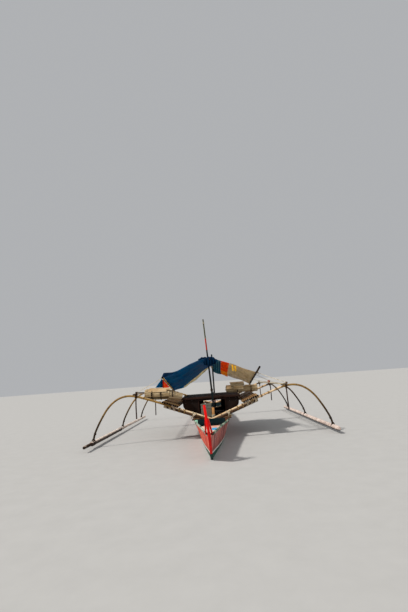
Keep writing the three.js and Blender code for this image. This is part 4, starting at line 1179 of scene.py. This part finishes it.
def side_decks():
    """Eight bamboos a side, laid up the booms' slope, on three cross pieces."""
    tilt = math.atan(BOOM_SLOPE)
    lift = (BOOM_R + 0.027 + 0.0008) / math.cos(tilt)
    places = [0.905 + k * 0.058 * math.cos(tilt) for k in range(8)]
    for side, s in SIDES:
        shape, ties = Shape(), Shape()
        for k, x in enumerate(places):
            z = boom_z(x) + lift
            cut = 0.035 * (k % 3)
            reach = 0.09 if k == 7 else 0.0
            path = [(s * x, -3.25 + cut - reach, z), (s * x, 0.17 - cut, z)]
            culm(shape, path, 0.0265, 0.0255, 120 + k + 20 * (s > 0), 0.34, dark=2)
        for y in (-2.7, -1.5, -0.3):
            ends = []
            for x, out in ((places[0], -1), (places[-1], 1)):
                z = boom_z(x) + lift + out * 0.0074
                x, low, high = s * (x + out * 0.02), z - 0.02, z + 0.032
                fore, aft = y - 0.028, y + 0.028
                ends.append([(x, fore, low), (x, aft, low), (x, aft, high), (x, fore, high)])
            shape.block(ends, tint=0.5, mat=1, soft=0.004)
            for k, x in enumerate(places):
                centre, pair = (s * x, y, boom_z(x) + lift), [(0, 0, 0.029), (0, 0.014, 0.022)]
                lash(ties, centre, (0.15, 1, 0), pair, 0.045, 3, 0.0032, skew=0.3, seed=k, count=18)
        looks, nodes = "deck_bamboo brown hollow", [f"side_deck_{side}"]
        shape.build(f"side_deck_culms_{side}", looks, "bamboo", nodes=nodes)
        ties.build(f"side_deck_ties_{side}", "tan_rope", "rope")


booms_and_arms()
floats()
knee_rails()
boom_lashings()
side_decks()

# Deck and deckhouse
HOUSE_SIDE = ((0.505, 0.5464), (0.785, 0.868), (0.8, 1.092))


def deck_boards():
    shape = Shape()
    edges = (-0.545, -0.425, -0.305, -0.185, -0.065, 0.047, 0.139, 0.27, 0.405, 0.545)
    for k, (x0, x1) in enumerate(zip(edges[:-1], edges[1:])):
        lengths = [(-2.985 - 0.004 * (k % 3), -0.33)]
        if k == 5:
            # this board is cut round the mast
            lengths = [(-2.985, MAST_Y - 0.044), (MAST_Y + 0.044, -0.33)]
        top = DECK_TOP - 0.0015 * (k % 2)
        for y0, y1 in lengths:
            shape.box(x0 + 0.0015, x1 - 0.0015, y0, y1, 0.518, top, tint=(k * 0.37) % 1)
    for y in (-2.93, -1.6, -0.45):
        for s in (1, -1):
            shape.box(s * 0.36, s * 0.5, y - 0.02, y + 0.02, 0.5165, 0.5178, tint=0.4, soft=0.0004)
    shape.build("deck_boards", "plank", "wood", nodes=["deck"])


def house_roof():
    shape = Shape()
    count = 13
    width = 1.68 / count
    for k in range(count):
        x = -0.84 + k * width
        top = 1.114 - 0.0012 * (k % 2)
        shape.box(x + 0.001, x + width - 0.001, -2.66, -0.31, 1.0924, top, tint=(k * 0.41) % 1)
    shape.build("roof_planks", "roof", "house_wood", nodes=["house_roof"])


def house_battens():
    """The roof's edges, the frames of the hatch and the door, and the battens up the sides."""
    shape = Shape()
    for y0, y1 in ((-2.671, -2.6605), (-0.3095, -0.299)):
        shape.box(-0.846, 0.846, y0, y1, 1.066, 1.119, tint=0.2)
    for x0, x1 in ((0.8405, 0.851), (-0.851, -0.8405)):
        shape.box(x0, x1, -2.66, -0.31, 1.066, 1.119, tint=0.6)
    for x0, x1, y, tint in ((-0.37, 0.44, -2.6295, 0.8), (-0.34, 0.34, -0.3495, 0.5)):
        for z in (0.6, 1.012):
            shape.box(x0, x1, y, y + 0.009, z, z + 0.038, tint=tint)
        for x in (x0, x1 - 0.038):
            shape.box(x, x + 0.038, y, y + 0.009, 0.638, 1.012, tint=tint)
    for s in (1, -1):
        for y in (-2.59, -1.95, -1.35, -0.75, -0.4):
            for (xa, za), (xb, zb) in zip(HOUSE_SIDE[:-1], HOUSE_SIDE[1:]):
                out = np.array([zb - za, 0, xa - xb])
                out = out / np.linalg.norm(out) * [s, 1, 1]
                half = np.array([0, 0.02, 0])
                corners = out * 0.001 + np.array([-half, half, half + out * 0.014, out * 0.014 - half])
                low, high = np.array([s * xa, y, za + 0.004]), np.array([s * xb, y, zb - 0.004])
                shape.block([low + corners, high + corners], tint=0.3)
    shape.build("house_battens", "rim", "house_wood")


def house_nails():
    """Nail heads along the front's boards, clear of the hatch and inside the sloping sides."""
    shape = Shape()
    for x in np.arange(-0.72, 0.76, 0.18):
        for z in (0.69, 0.96, 1.04):
            over_hatch = -0.38 < x < 0.45 and z < 1.05
            if not over_hatch and abs(x) <= 0.505 + 0.8 * (z - 0.546) - 0.04:
                rings = ((0, 0.006), (0.0022, 0.0045), (0.0028, 0.001))
                turned(shape, (x, -2.6202, z), (0, -1, 0), (1, 0, 0), rings, 8)
    shape.build("house_nails", "steel", "steel")


def locker_fittings():
    shape = Shape()
    shape.box(-0.281, 0.016, -2.9815, -2.6835, 0.897, 0.93, tint=0.3, soft=0.004)
    for x in (-0.21, -0.055):
        shape.box(x - 0.014, x + 0.014, -2.6828, -2.6795, 0.86, 0.925, tint=0.5, mat=1, soft=0.001)
    shape.box(-0.15, -0.115, -2.9845, -2.982, 0.85, 0.915, tint=0.5, mat=1, soft=0.001)
    for z in (0.62, 0.82):
        shape.box(-0.277, 0.012, -2.9805, -2.9755, z - 0.018, z + 0.018, tint=0.7, soft=0.002)
    shape.build("locker_fittings", "grey steel", "grey_paint")


def board_blocks():
    """The small pale and brown blocks at the ends of the first cross board."""
    shape = Shape()
    shape.box(-0.455, -0.375, -3.2195, -3.1995, 0.452, 0.548, tint=0.2, soft=0.004)
    shape.box(0.365, 0.452, -3.2255, -3.1995, 0.44, 0.55, tint=0.6, mat=1, soft=0.004)
    shape.build("cross_board_blocks", "mint brown", "teal_paint")


def bitt_rope():
    shape = Shape()
    corners = [(dx, dy, 0.006) for dx in (-0.03, 0.03) for dy in (-0.03, 0.03)]
    lash(shape, (0.054, -2.948, 0.61), (0, 0, 1), corners, 0.07, 6, 0.0055, seed=4)
    knot(shape, (0.054, -2.994, 0.6), 0.03, seed=3, rope=0.0055)
    shape.build("bitt_rope", "rope", "rope")


deck_boards()
house_roof()
house_battens()
house_nails()
locker_fittings()
board_blocks()
bitt_rope()

# Awning
RIDGE = ((0.052, -3.05, 2.172), (0.052, 0.13, 2.01))
EAVES = {
    "port": ((1.44, -3.05, 1.838), (1.352, 0.06, 1.278)),
    "starboard": ((-1.305, -3.01, 1.742), (-1.3, 0.06, 1.208)),
}
# x, front y, front z, back y, back z, hem
BLUE = (
    (-1.318, -2.85, 1.768, -0.24, 1.297, 0.008),
    (-1.275, -2.85, 1.8, -0.24, 1.307, 0.01),
    (-0.898, -2.85, 1.905, -0.24, 1.458, 0.06),
    (-0.52, -2.845, 2.078, -0.245, 1.722, 0.105),
    (-0.18, -2.825, 2.198, -0.245, 1.97, 0.1),
    (0.0, -2.815, 2.208, -0.245, 2.05, 0.004),
    (0.118, -2.815, 2.201, -0.245, 2.048, 0.004),
)
PATCH = (
    (0.1184, -2.815, 2.201, -0.245, 2.048, 0.19),
    (0.378, -2.82, 2.092, -0.245, 1.905, 0.16),
    (0.61, -2.78, 2.018, -0.245, 1.8, 0.15),
)
CANVAS = (
    (0.6104, -2.78, 2.018, -0.245, 1.8, 0.12),
    (0.98, -2.48, 1.872, -0.245, 1.625, 0.085),
    (1.33, -2.2, 1.752, -0.245, 1.4, 0.03),
    (1.378, -2.18, 1.745, -0.245, 1.385, 0.012),
)


def eave_x(side, share):
    """How far out a batten is, a share of the way aft along it."""
    (fore, *_), (aft, *_) = EAVES[side]
    return fore + (aft - fore) * share


def eave_z(side, y):
    (_, y0, z0), (_, y1, z1) = EAVES[side]
    return z0 + (z1 - z0) * (y - y0) / (y1 - y0)


def soft_noise(u, v, seed):
    """A smooth random field on a grid, from a few seeded waves."""
    rng = np.random.default_rng(seed)
    total = np.zeros(np.broadcast(u, v).shape)
    for k in range(12):
        scale = 2 ** (k // 4)
        a, b = rng.normal(0, 1, 2) * scale * 2.4
        total = total + np.sin(a * u + b * v + rng.uniform(0, 6.28)) / scale
    return total / 4


def awning_grid(rows, columns, folds=0.011):
    """A cloth's points, front to back along each column, with its sag, creases and folds."""
    rows = np.array(rows)
    length = 84
    x = np.linspace(rows[0, 0], rows[-1, 0], columns)
    y0, z0, y1, z1, hem = (np.interp(x, rows[:, 0], rows[:, k]) for k in range(1, 6))
    v = np.linspace(0, 1, length)[:, None]
    px = np.broadcast_to(x[None], (length, columns)).copy()
    py = y0 + (y1 - y0) * v
    pz = z0 + (z1 - z0) * v + 0.004
    out = np.clip(np.abs(px - 0.06) / 1.3, 0, 1)
    cross = np.sin(py * 9.5 + 2.2 * soft_noise(px * 0.7, py * 0.9, 2) + px * 1.3)
    fine = np.sin(py * 27 + 3.0 * soft_noise(px, py * 1.2, 3) - px * 3.0)
    rumple = soft_noise(px * 2.6, py * 2.0, 4)
    pz += folds * (0.75 * cross * (0.35 + out) + 0.3 * fine * (0.3 + 0.9 * out) + 0.5 * rumple)
    pz -= 0.014 * np.sin(math.pi * out) * (0.6 + 0.4 * np.sin(math.pi * v))
    pz += 0.012 * np.exp(-(((px - RIDGE[0][0]) / 0.03) ** 2))
    px += 0.004 * soft_noise(px * 3, py * 3, 5)
    py += 0.012 * np.sin(px * 7 + 1) * (1 - v) ** 6 - 0.01 * np.sin(px * 9 + 1) * v ** 6
    return np.stack([px, py, pz], -1), hem


def hem_grid(top, hem, seed, rows=9):
    """The part of a cloth that hangs from its back edge."""
    v = np.linspace(0, 1, rows)[:, None]
    x, y, z = top.T[:, None]
    y = y + 0.006 + 0.018 * v * np.sin(x * 21 + seed)
    z = z - hem[None] * v * (1 + 0.08 * np.sin(x * 13 + seed))
    return np.stack([x + 0 * v, y, z], -1)


def cloth(name, looks, slot, widths, tint, nodes=()):
    """Widths of cloth side by side, a look for each; a width is a grid of points and maybe a hanging hem."""
    shape = Shape()
    for mat, grids in enumerate(widths):
        for grid in grids:
            skin(shape, grid, tint, mat)
    obj = shape.build(name, looks, slot, nodes=nodes, sharp=70)


def awning_blue():
    grid, hem = awning_grid(BLUE, 96)
    back = grid[-1]
    edged = (back[:, 0] > -0.96) & (back[:, 0] < -0.02)
    hang = hem_grid(back, np.where(edged, 0.012, np.maximum(hem, 0.006)), 2)
    cloth("awning_tarp", "blue", "blue_cloth", [(grid, hang)], 0.2, ["awning_blue"])
    # a pale strip sewn along the back hem, deepest at its middle, coloured brighter than the cloth as painted
    # light
    strip = hem_grid(back[edged], hem[edged], 2, 12) + [0, 0.003, -0.004]
    cloth("awning_strip", "strip", "canvas", [(strip,)], 0.4)


def awning_patch():
    widths = []
    for k in range(2):
        grid, hem = awning_grid(PATCH[k : k + 2], 26)
        torn = 0.022 * k * np.abs(soft_noise(grid[-1][:, 0] * 30, 0.0, 12))
        widths.append((grid, hem_grid(grid[-1], hem - torn, 5 + k)))
    looks, rests_on = "teal_cloth orange", ["ridge_culm", "eave_culm_port"]
    cloth("awning_patchwork", looks, "patch_cloth", widths, 0.5, ["awning_patch"])


def awning_canvas():
    grid, hem = awning_grid(CANVAS, 60, folds=0.013)
    # the outboard edge is drawn over the batten
    (ax, ay, az), (bx, by, bz) = EAVES["port"]
    along = (grid[..., 1] - ay) / (by - ay)
    pull = np.clip((grid[..., 0] - 1.16) / 0.215, 0, 1) ** 2
    last = grid[:, -1:, :].copy()
    grid[..., 0] += pull * (ax + (bx - ax) * along + 0.016 - last[..., 0])
    grid[..., 2] += pull * (az + (bz - az) * along + 0.031 - last[..., 2])
    hang = hem_grid(grid[-1], np.maximum(hem, 0.01), 9)
    widths, rests_on = [(grid, hang)], ["ridge_culm", "eave_culm_port"]
    cloth("awning_sailcloth", "canvas", "canvas", widths, 0.5, ["awning_canvas"])


def hanging(name, look, slot, corners, count, folds, seed):
    """A small cloth between four corners: upper start, upper end, lower start, lower end."""
    a, b, c, d = (np.array(p, float) for p in corners)
    u = np.linspace(0, 1, count[0])[None, :, None]
    v = np.linspace(0, 1, count[1])[:, None, None]
    points = (a * (1 - u) + b * u) * (1 - v) + (c * (1 - u) + d * u) * v
    normal = np.cross(b - a, c - a)
    normal /= np.linalg.norm(normal)
    wave = np.sin(u * folds[1] * 6.283 + 1.4 * soft_noise(u * 2, v * 2, seed)) * (0.25 + 0.75 * v)
    rough = soft_noise(u * 4, v * 4, seed + 3) * 0.35
    cloth(name, look, slot, [(points + normal * folds[0] * (wave + rough),)], 0.4)


def under_eave(y):
    return (-1.333, y, eave_z("starboard", y) - 0.012)


def curtain_edge():
    """The curtain's yellow heading, a narrow strip drawn against the batten's lower inboard side."""
    y = np.linspace(-2.93, -0.95, 70)[:, None]
    turn = np.radians(np.linspace(2, -82, 9))[None]
    radius = 0.0265 + 0.0012 * np.sin(y * 23 + turn * 2)
    x, z = -1.3042 + radius * np.cos(turn), eave_z("starboard", y) + radius * np.sin(turn)
    heading = np.stack([x, y + 0 * turn, z], -1)
    cloth("curtain_edge", "yellow", "patch_cloth", [(heading,)], 0.3)


def awning_trimmings():
    curtain = (under_eave(-2.8), under_eave(-1.5), (-1.33, -2.8, 1.445), (-1.327, -1.5, 1.435))
    hanging("side_curtain", "red_cloth", "patch_cloth", curtain, (70, 26), (0.01, 7), 21)
    curtain_edge()
    flap = ((-0.96, -2.86, 1.868), (-1.285, -2.875, 1.868), (-1.05, -2.88, 1.808), (-1.36, -2.93, 1.716))
    hanging("tarp_flap", "navy", "blue_cloth", flap, (26, 14), (0.008, 1.6), 23)
    corner = ((-1.345, -2.6, 1.655), (-1.34, -2.9, 1.7), (-1.36, -2.6, 1.46), (-1.535, -2.92, 1.472))
    hanging("tarp_corner", "blue", "blue_cloth", corner, (18, 20), (0.007, 1.4), 24)
    shifts = ((0, 0, 0), (0.048, -0.003, -0.012), (0.008, -0.009, 0), (0.052, -0.012, -0.014))
    for k, (x, y, length) in enumerate(((0.672, -2.765, 0.17), (0.752, -2.7, 0.16))):
        z = 1.968 - 0.4 * (x - 0.672)
        ends = [(x + dx, y + dy, z + dz - length * (n > 1)) for n, (dx, dy, dz) in enumerate(shifts)]
        ribbon = f"ribbon_{k + 1}"
        hanging(ribbon, "yellow", "patch_cloth", ends, (8, 22), (0.004, 0.8), 30 + k)


def ridge_bundle():
    """Spare cloth thrown over the fore end of the ridge, ahead of the mast, and rolled beside it."""
    count = 56
    u = np.linspace(0, 1, count)
    x = -0.13 + 0.4 * u
    crown = np.interp(x, (-0.13, -0.03, 0.03, 0.13, 0.27), (2.15, 2.208, 2.222, 2.2, 2.13))
    crown = crown + 0.006 * np.sin(u * 19)
    foot = np.interp(x, (-0.13, -0.04, 0.03, 0.1, 0.27), (2.03, 1.985, 1.965, 1.985, 2.045))
    depth = crown - foot + 0.01 * np.sin(u * 23)
    gather = 0.01 * np.sin(u * 31) + 0.006 * np.sin(u * 53 + 1)
    back, front = -2.9 + 0 * u, -3.03 + gather
    rows = [np.stack([x, back + (front - back) * v, crown + 0.004 * v], -1) for v in np.linspace(0, 0.8, 5)]
    for v in np.linspace(0, 1, 16):
        bulge = 0.02 * math.sin(math.pi * v) * (1 + 0.6 * np.sin(u * 31 + 2 * v))
        swing = 0.55 * gather * (1 + v)
        y, z = front - bulge + swing + 0.03 * v, crown - 0.012 - depth * v
        rows.append(np.stack([x * (1 - 0.12 * v), y, z], -1))
    face = np.array(rows[5:])
    inner = np.stack([face[..., 0], np.broadcast_to(back + 0.02, face.shape[:2]), face[..., 2]], -1)
    inner[-1] = face[-1]
    inner[-2, :, 1] -= 0.03
    grids = [np.array(rows), inner, *(np.stack([face[:, end], inner[:, end]]) for end in (0, -1))]
    ridge_x, ridge_z = (-0.52, -0.18, 0.0, 0.118, 0.378), (2.078, 2.198, 2.208, 2.201, 2.092)
    for fore, aft in ((-0.27, -0.03), (0.055, 0.21)):
        x = fore + (aft - fore) * u
        z = np.interp(x, ridge_x, ridge_z) + 0.006
        turn = np.linspace(-0.3, 1.2, 12)[:, None] * math.pi
        radius = 0.03 * (1 + 0.22 * np.sin(u * 15 + fore * 40)) * (0.6 + 0.4 * np.sin(math.pi * u))
        y = -2.812 + 0.01 * np.sin(u * 7)
        wide = np.broadcast_to(x[None], (12, count))
        grids.append(np.stack([wide, y[None] - radius * np.cos(turn), z[None] + radius * np.sin(turn)], -1))
    shape = Shape()
    for points in grids:
        skin(shape, points, 0.6)
    obj = shape.build("ridge_bundle", "navy", "blue_cloth", sharp=70)


def spars():
    shape = Shape()
    culm(shape, RIDGE, 0.0148, 0.014, 200, 0.28, 12)
    shape.build("ridge_culm", "bamboo hollow", "bamboo", nodes=["ridge_pole"])
    for k, (side, r) in enumerate((("port", 0.0278), ("starboard", 0.0238))):
        shape = Shape()
        culm(shape, EAVES[side], r, r * 0.94, 201 + k, 0.3)
        shape.build(f"eave_culm_{side}", "dark_bamboo hollow", "dark_bamboo", nodes=[f"eave_pole_{side}"])


spars()
awning_blue()
awning_patch()
awning_canvas()
awning_trimmings()
ridge_bundle()

# Blinds: split slats rolled up and tied
SLAT = 0.04
SLAT_POINTS = 5


def roll(shape, a, b, r0, r1, seed, layers):
    """A roll of slats from a to b, with its layers seen at both ends."""
    a, b = np.array(a, float), np.array(b, float)
    length = np.linalg.norm(b - a)
    axis = (b - a) / length
    count = int(2 * math.pi * max(r0, r1) / SLAT)
    total = count * SLAT_POINTS
    turn = around(total)
    phase = np.arange(total) % SLAT_POINTS / SLAT_POINTS
    rng = np.random.default_rng(seed)
    slat_out = np.repeat(rng.normal(0, 0.0026, count), SLAT_POINTS)
    sunk = np.repeat(np.repeat(rng.random(count // 2 + 1) < 0.26, 2)[:count], SLAT_POINTS)
    profile = -0.008 * (np.abs(phase - 0.5) * 2) ** 3 + slat_out - 0.013 * sunk
    spiral = 0.006 * (turn / (2 * math.pi)) - 0.003
    near_end = 0.09 / length * np.array([0.15, 0.4, 0.7])
    stations = np.unique(np.concatenate([np.linspace(0, 1, max(6, int(length / 0.05))), near_end]))
    path = a + (b - a) * stations[:, None]
    blunt = 1 - 0.16 * np.clip(1 - stations * length / 0.09, 0, 1) ** 2
    radius = ((r0 + (r1 - r0) * stations) * blunt)[:, None] + profile[None] + spiral[None] - 0.003
    rows = path[:, None] + radius[..., None] * spokes(turn, *frames(path), 0.985)
    rows[..., 2] -= (0.006 * np.sin(math.pi * stations))[:, None]
    ragged = np.repeat(rng.normal(0, 0.006, count), SLAT_POINTS)
    rows[0] -= axis * np.abs(ragged)[:, None]
    rows[-1] += axis * np.abs(ragged)[:, None]
    tint = np.repeat(rng.uniform(0, 1, count), SLAT_POINTS)[None]
    # painted shade: the sunk slats and the seam at each slat's edge take the bamboo's dark ring colour
    gap = np.where(sunk | (phase == 0), 1.0, 0.0)[None]
    across = np.arange(total + 1) / total * 2 * math.pi * max(r0, r1)
    shape.grid(rows, wrap=True, across=across, along=stations * length, tint=tint, ring=gap)
    odd = [k % 2 for k in range(layers * 2)]
    for end in (0, 1):
        row, middle = rows[-end], path[-end]
        facing = axis if end else -axis
        mouth = [row]
        for k in range(1, layers * 2):
            share = 1 - k / (layers * 2 + 0.5)
            mouth.append(middle + (row - middle) * share + facing * (-0.012 if odd[k] else -0.002))
        mouth = np.array(mouth) if end else np.array(mouth)[:, ::-1]
        # painted shade: the layers set back at the roll's ends are dark
        shape.grid(mouth, wrap=True, ring=np.where(odd, 0.9, 0.1), tint=0.6, caps=(False, True))


def slat_mat(shape, x0, x1, rows, drop, seed, mat):
    """Slats side by side on a path of (y, z) points, from x0 to x1 and lower by drop at x1."""
    rng = np.random.default_rng(seed)
    rows = np.array(rows, float)
    shade = rng.uniform(0, 1, len(rows) // 2 + 1)
    for k, step in enumerate(np.gradient(rows, axis=0)):
        half = step * 0.44
        out = np.array([-step[1], step[0]]) / np.linalg.norm(step)
        thick = out * (0.006 + 0.006 * (k // 2 % 2))
        quad = [rows[k] - half, rows[k] + half, rows[k] + half + thick, rows[k] - half + thick]
        short, long = x0 + rng.uniform(-0.012, 0.012), x1 + rng.uniform(-0.014, 0.014)
        ends = [[(short, y, z) for y, z in quad], [(long, y, z - drop) for y, z in quad]]
        shape.block(ends, tint=shade[k // 2], mat=mat, soft=0.0015)


def over(centre, radius, first, last, step):
    """Points of (y, z) round a roll, from a height in degrees in front, back over its top."""
    turn = np.radians(np.arange(first, last, math.degrees(step / radius)))
    return [(centre[0] - radius * math.cos(a), centre[1] + radius * math.sin(a)) for a in turn]


def blind_starboard():
    shape, ties = Shape(), Shape()
    roll(shape, (-1.835, -2.86, 1.3), (-1.15, -2.83, 1.275), 0.155, 0.146, 1, 7)
    roll(shape, (-1.17, -2.83, 1.266), (-0.795, -2.81, 1.175), 0.144, 0.072, 2, 5)
    for k, (x, rope) in enumerate(((-1.63, 0.0055), (-1.38, 0.0055), (-1.05, 0.005))):
        share = (x + 1.835) / 0.685
        centre = np.array([x, -2.86 + 0.03 * share, 1.3 - 0.025 * share])
        radius = 0.157 - 0.009 * share if x < -1.15 else 0.126
        lash(ties, centre, (1, 0.04, -0.036), radius, 0.02, 2.4, rope, seed=k, count=40)
        knot(ties, centre + [0, -0.16, 0.03], 0.03, seed=k, rope=0.0045)
    # the mats over the roll's top take the paler slats, partly painted highlight
    slat_mat(shape, -1.7, -1.1, over((-2.85, 1.294), 0.161, 52, 122, 0.02), 0.024, 31, 3)
    slat_mat(shape, -1.74, -1.22, over((-2.85, 1.294), 0.157, 30, 52, 0.02), 0.02, 32, 3)
    culm(shape, [(-2.06, -2.87, 1.368), (-0.9, -2.82, 1.3)], 0.0135, 0.013, 210, 0.24, 10, mat=1, dark=2)
    looks, nodes = "slats dark_bamboo hollow pale_slats", ["rolled_blind_starboard"]
    shape.build("blind_roll_starboard", looks, "blind_slats", nodes=nodes, sharp=30)
    ties.build("blind_ties_starboard", "cord", "rope")


def blind_port():
    shape, ties = Shape(), Shape()
    roll(shape, (0.475, -2.33, 1.274), (1.395, -2.25, 1.248), 0.102, 0.092, 3, 5)
    roll(shape, (0.62, -2.32, 1.402), (1.0, -2.29, 1.406), 0.056, 0.056, 4, 3)
    for k, x in enumerate((0.8, 1.2)):
        share = (x - 0.475) / 0.92
        centre, radius = (x, -2.33 + 0.08 * share, 1.274 - 0.026 * share), 0.104 - 0.009 * share
        lash(ties, centre, (1, 0.087, -0.028), radius, 0.016, 2.3, 0.0048, seed=k, count=36)
    # the upper mats take the paler slats, partly painted highlight; the one low in front keeps the plain slats
    slat_mat(shape, 0.6, 1.01, over((-2.31, 1.39), 0.066, 40, 150, 0.02), -0.002, 33, 1)
    slat_mat(shape, 0.69, 0.97, over((-2.322, 1.268), 0.113, -4, 56, 0.022), 0.004, 34, 0)
    slat_mat(shape, 0.48, 0.62, over((-2.33, 1.272), 0.104, 10, 120, 0.022), 0.0, 35, 1)
    slat_mat(shape, 1.03, 1.37, over((-2.27, 1.257), 0.098, 58, 118, 0.022), 0.012, 36, 1)
    nodes = ["rolled_blind_port"]
    shape.build("blind_roll_port", "slats pale_slats", "blind_slats", nodes=nodes, sharp=30)
    ties.build("blind_ties_port", "cord", "rope")


# Rigging
GUYS = {
    "port": ((1.455, -2.35, 1.69), (2.108, -3.215, 1.37)),
    "starboard": ((-1.345, -2.82, 1.73), (-2.03, -3.095, 1.385)),
}
# about the way the battens run
EAVE_AXIS = (0, 1, -0.18)
# side, x and y on the batten, the point on the knee rail, radius, steps
SIDE_ROPES = (
    ("port", 1.408, -2.0, (1.962, -3.13, 1.319), 0.006, 36),
    ("port", 1.382, -1.22, (2.07, -0.06, 1.36), 0.006, 36),
    ("starboard", -1.33, -0.2, (-2.07, -0.04, 1.345), 0.0042, 30),
    ("starboard", -1.31, -1.6, (-2.07, -0.1, 1.345), 0.0042, 36),
)
# height, radius, width, turns, rope, skew, look and seed of each seizing on the mast
MAST_SEIZINGS = (
    (3.22, 0.0185, 0.05, 8, 0.0035, 0.0, 0, 7),
    (2.78, 0.0205, 0.03, 5, 0.0035, 0.0, 0, 8),
    (1.3, 0.0285, 0.06, 9, 0.004, 0.0, 1, 9),
    (0.6, 0.033, 0.06, 5, 0.0045, -0.6, 1, 10),
    (0.6, 0.033, 0.06, 5, 0.0045, 0.6, 1, 10),
)


def guys_and_side_ropes():
    for side, _ in SIDES:
        a, b = (np.array(p) for p in GUYS[side])
        shape = Shape()
        strand(shape, a, b, 0.007, 0.012, 40)
        knot(shape, a + [0, 0, 0.004], 0.03, seed=1)
        knot(shape, b + [0, -0.01, 0.0], 0.028, mat=1, seed=2)
        lash(shape, b + [0, 0.01, -0.015], (0, 0, 1), 0.021, 0.03, 5, 0.0042, mat=1, seed=3)
        on_eave = (eave_x(side, 0.02), a[1], eave_z(side, a[1]))
        lash(shape, on_eave, EAVE_AXIS, 0.0245, 0.035, 5, 0.0042, seed=4)
        shape.build(f"guy_rope_{side}", "pale_rope brown_rope", "rope", nodes=[f"guy_{side}"])
    shape = Shape()
    for side, x, y, end, radius, steps in SIDE_ROPES:
        strand(shape, (x, y, eave_z(side, y)), end, radius, 0.02, steps)
    knot(shape, (2.085, -0.02, 1.385), 0.05, mat=1, seed=8, rope=0.008)
    lash(shape, (2.07, 0.0, 1.376), (0, 1, 0), 0.024, 0.06, 6, 0.007, mat=1, seed=8)
    shape.build("side_ropes", "pale_rope orange_rope", "rope")


def awning_seizings():
    """Seizings of the awning frame, and a halyard made fast low on the mast."""
    shape = Shape()
    mast, mast_pair = (mast_x(2.18), MAST_Y, 2.165), [(0, 0, 0.026), (-0.046, 0, 0.018)]
    post, post_pair = (0.096, -0.2, 2.005), [(0, 0, 0.028), (0.043, 0, 0.018)]
    for skew in (-0.8, 0.8):
        lash(shape, mast, (0, 0, 1), mast_pair, 0.05, 5, 0.0036, skew=skew, mat=1, seed=5)
        lash(shape, post, (0, 0, 1), post_pair, 0.06, 7, 0.004, skew=skew, seed=6)
    for z, *sizes, skew, mat, seed in MAST_SEIZINGS:
        lash(shape, (mast_x(z), MAST_Y, z), (0, 0, 1), *sizes, skew=skew, mat=mat, seed=seed)
    halyard = (mast_x(3.2), MAST_Y - 0.022, 3.2), (mast_x(1.33) + 0.006, MAST_Y - 0.032, 1.33)
    strand(shape, *halyard, 0.003, 0.0, 30, mat=1)
    for k, y in enumerate(np.arange(-2.7, -0.3, 0.4)):
        for side, s in SIDES:
            if side == "starboard" or y > -2.2:
                centre = (eave_x(side, (y - EAVES[side][0][1]) / 3.1), y, eave_z(side, y))
                pair = [(0, 0, 0.0245), (-0.028 * s, 0.02, 0.006)]
                lash(shape, centre, EAVE_AXIS, pair, 0.02, 3, 0.0034, seed=k)
    shape.build("awning_seizings", "rope cord", "rope")


def running_gear():
    """Straps on the rudder's stock, a lashing on the tiller, and a nut on the propeller shaft."""
    bolt = ((0.0116, 0.008), (0.0155, 0.008), (0.017, 0.006))
    nut = ((0.0455, 0.016), (0.0465, 0.0175), (0.062, 0.0175), (0.063, 0.016), (0.064, 0.009), (0.072, 0.008))
    shape = Shape()
    for z in (-0.16, -0.34, -0.5):
        shape.box(-0.0115, 0.0115, 5.46, 5.62, z - 0.02, z + 0.02, tint=0.4, soft=0.002)
        for y in (5.545, 5.595):
            for s in (1, -1):
                turned(shape, (0, y, z), (s, 0, 0), (0, 1, 0), bolt)
    lash(shape, (0, 4.99, 0.952), (0, 1, 0), 0.0145, 0.1, 16, 0.0035, mat=1, seed=1)
    lash(shape, (0, 5.48, 0.93), (0, 0, 1), 0.018, 0.04, 6, 0.004, mat=1, seed=2)
    shape.build("rudder_straps", "steel cord", "steel", body="rudder")
    shape = Shape()
    down = math.radians(8)
    turned(shape, (0, 4.5, -0.4), (0, math.cos(down), -math.sin(down)), (1, 0, 0), nut)
    shape.build("propeller_nut", "bronze", "bronze", body="propeller")


blind_starboard()
blind_port()
guys_and_side_ropes()
awning_seizings()
running_gear()

# Floor, light and finish
FLOOR_SIDES = 96


def floor():
    """A round floor made of rings, finer towards the boat."""
    mesh = bpy.data.meshes.new("floor")
    points = [(0.0, 0.0, 0.0)]
    for radius in (4.0, 12.0, 40.0, 260.0):
        points += [(radius * math.cos(turn), radius * math.sin(turn), 0.0) for turn in around(FLOOR_SIDES)]
    faces = []
    for k in range(FLOOR_SIDES):
        after = (k + 1) % FLOOR_SIDES
        faces.append((0, 1 + k, 1 + after))
        for low in range(1, 1 + FLOOR_SIDES * 3, FLOOR_SIDES):
            high = low + FLOOR_SIDES
            faces.append((low + k, high + k, high + after, low + after))
    mesh.from_pydata(points, [], faces)
    mesh.materials.append(floor_finish())
    obj = bpy.data.objects.new("floor", mesh)
    bpy.context.scene.collection.objects.link(obj)


floor()
world = bpy.data.worlds.new("studio")
world.use_nodes = True
world.node_tree.nodes["Background"].inputs["Color"].default_value = (0.9, 0.92, 0.95, 1)
world.node_tree.nodes["Background"].inputs["Strength"].default_value = 0.48
bpy.context.scene.world = world

LAMPS = (
    # name, direction towards the light, strength, softness in degrees, colour
    ("key", (-0.75, -0.45, 0.95), 3.5, 6.0, (1.0, 0.965, 0.91)),
    ("fill", (0.8, -0.7, 0.5), 0.4, 40.0, (0.92, 0.96, 1.0)),
)
for name, direction, strength, softness, color in LAMPS:
    data = bpy.data.lights.new(name, "SUN")
    data.energy = strength
    data.angle = math.radians(softness)
    data.color = color
    lamp = bpy.data.objects.new(name, data)
    lamp.rotation_euler = Vector(direction).to_track_quat("Z", "Y").to_euler()
    bpy.context.scene.collection.objects.link(lamp)

bpy.context.scene.view_settings.view_transform = "Standard"
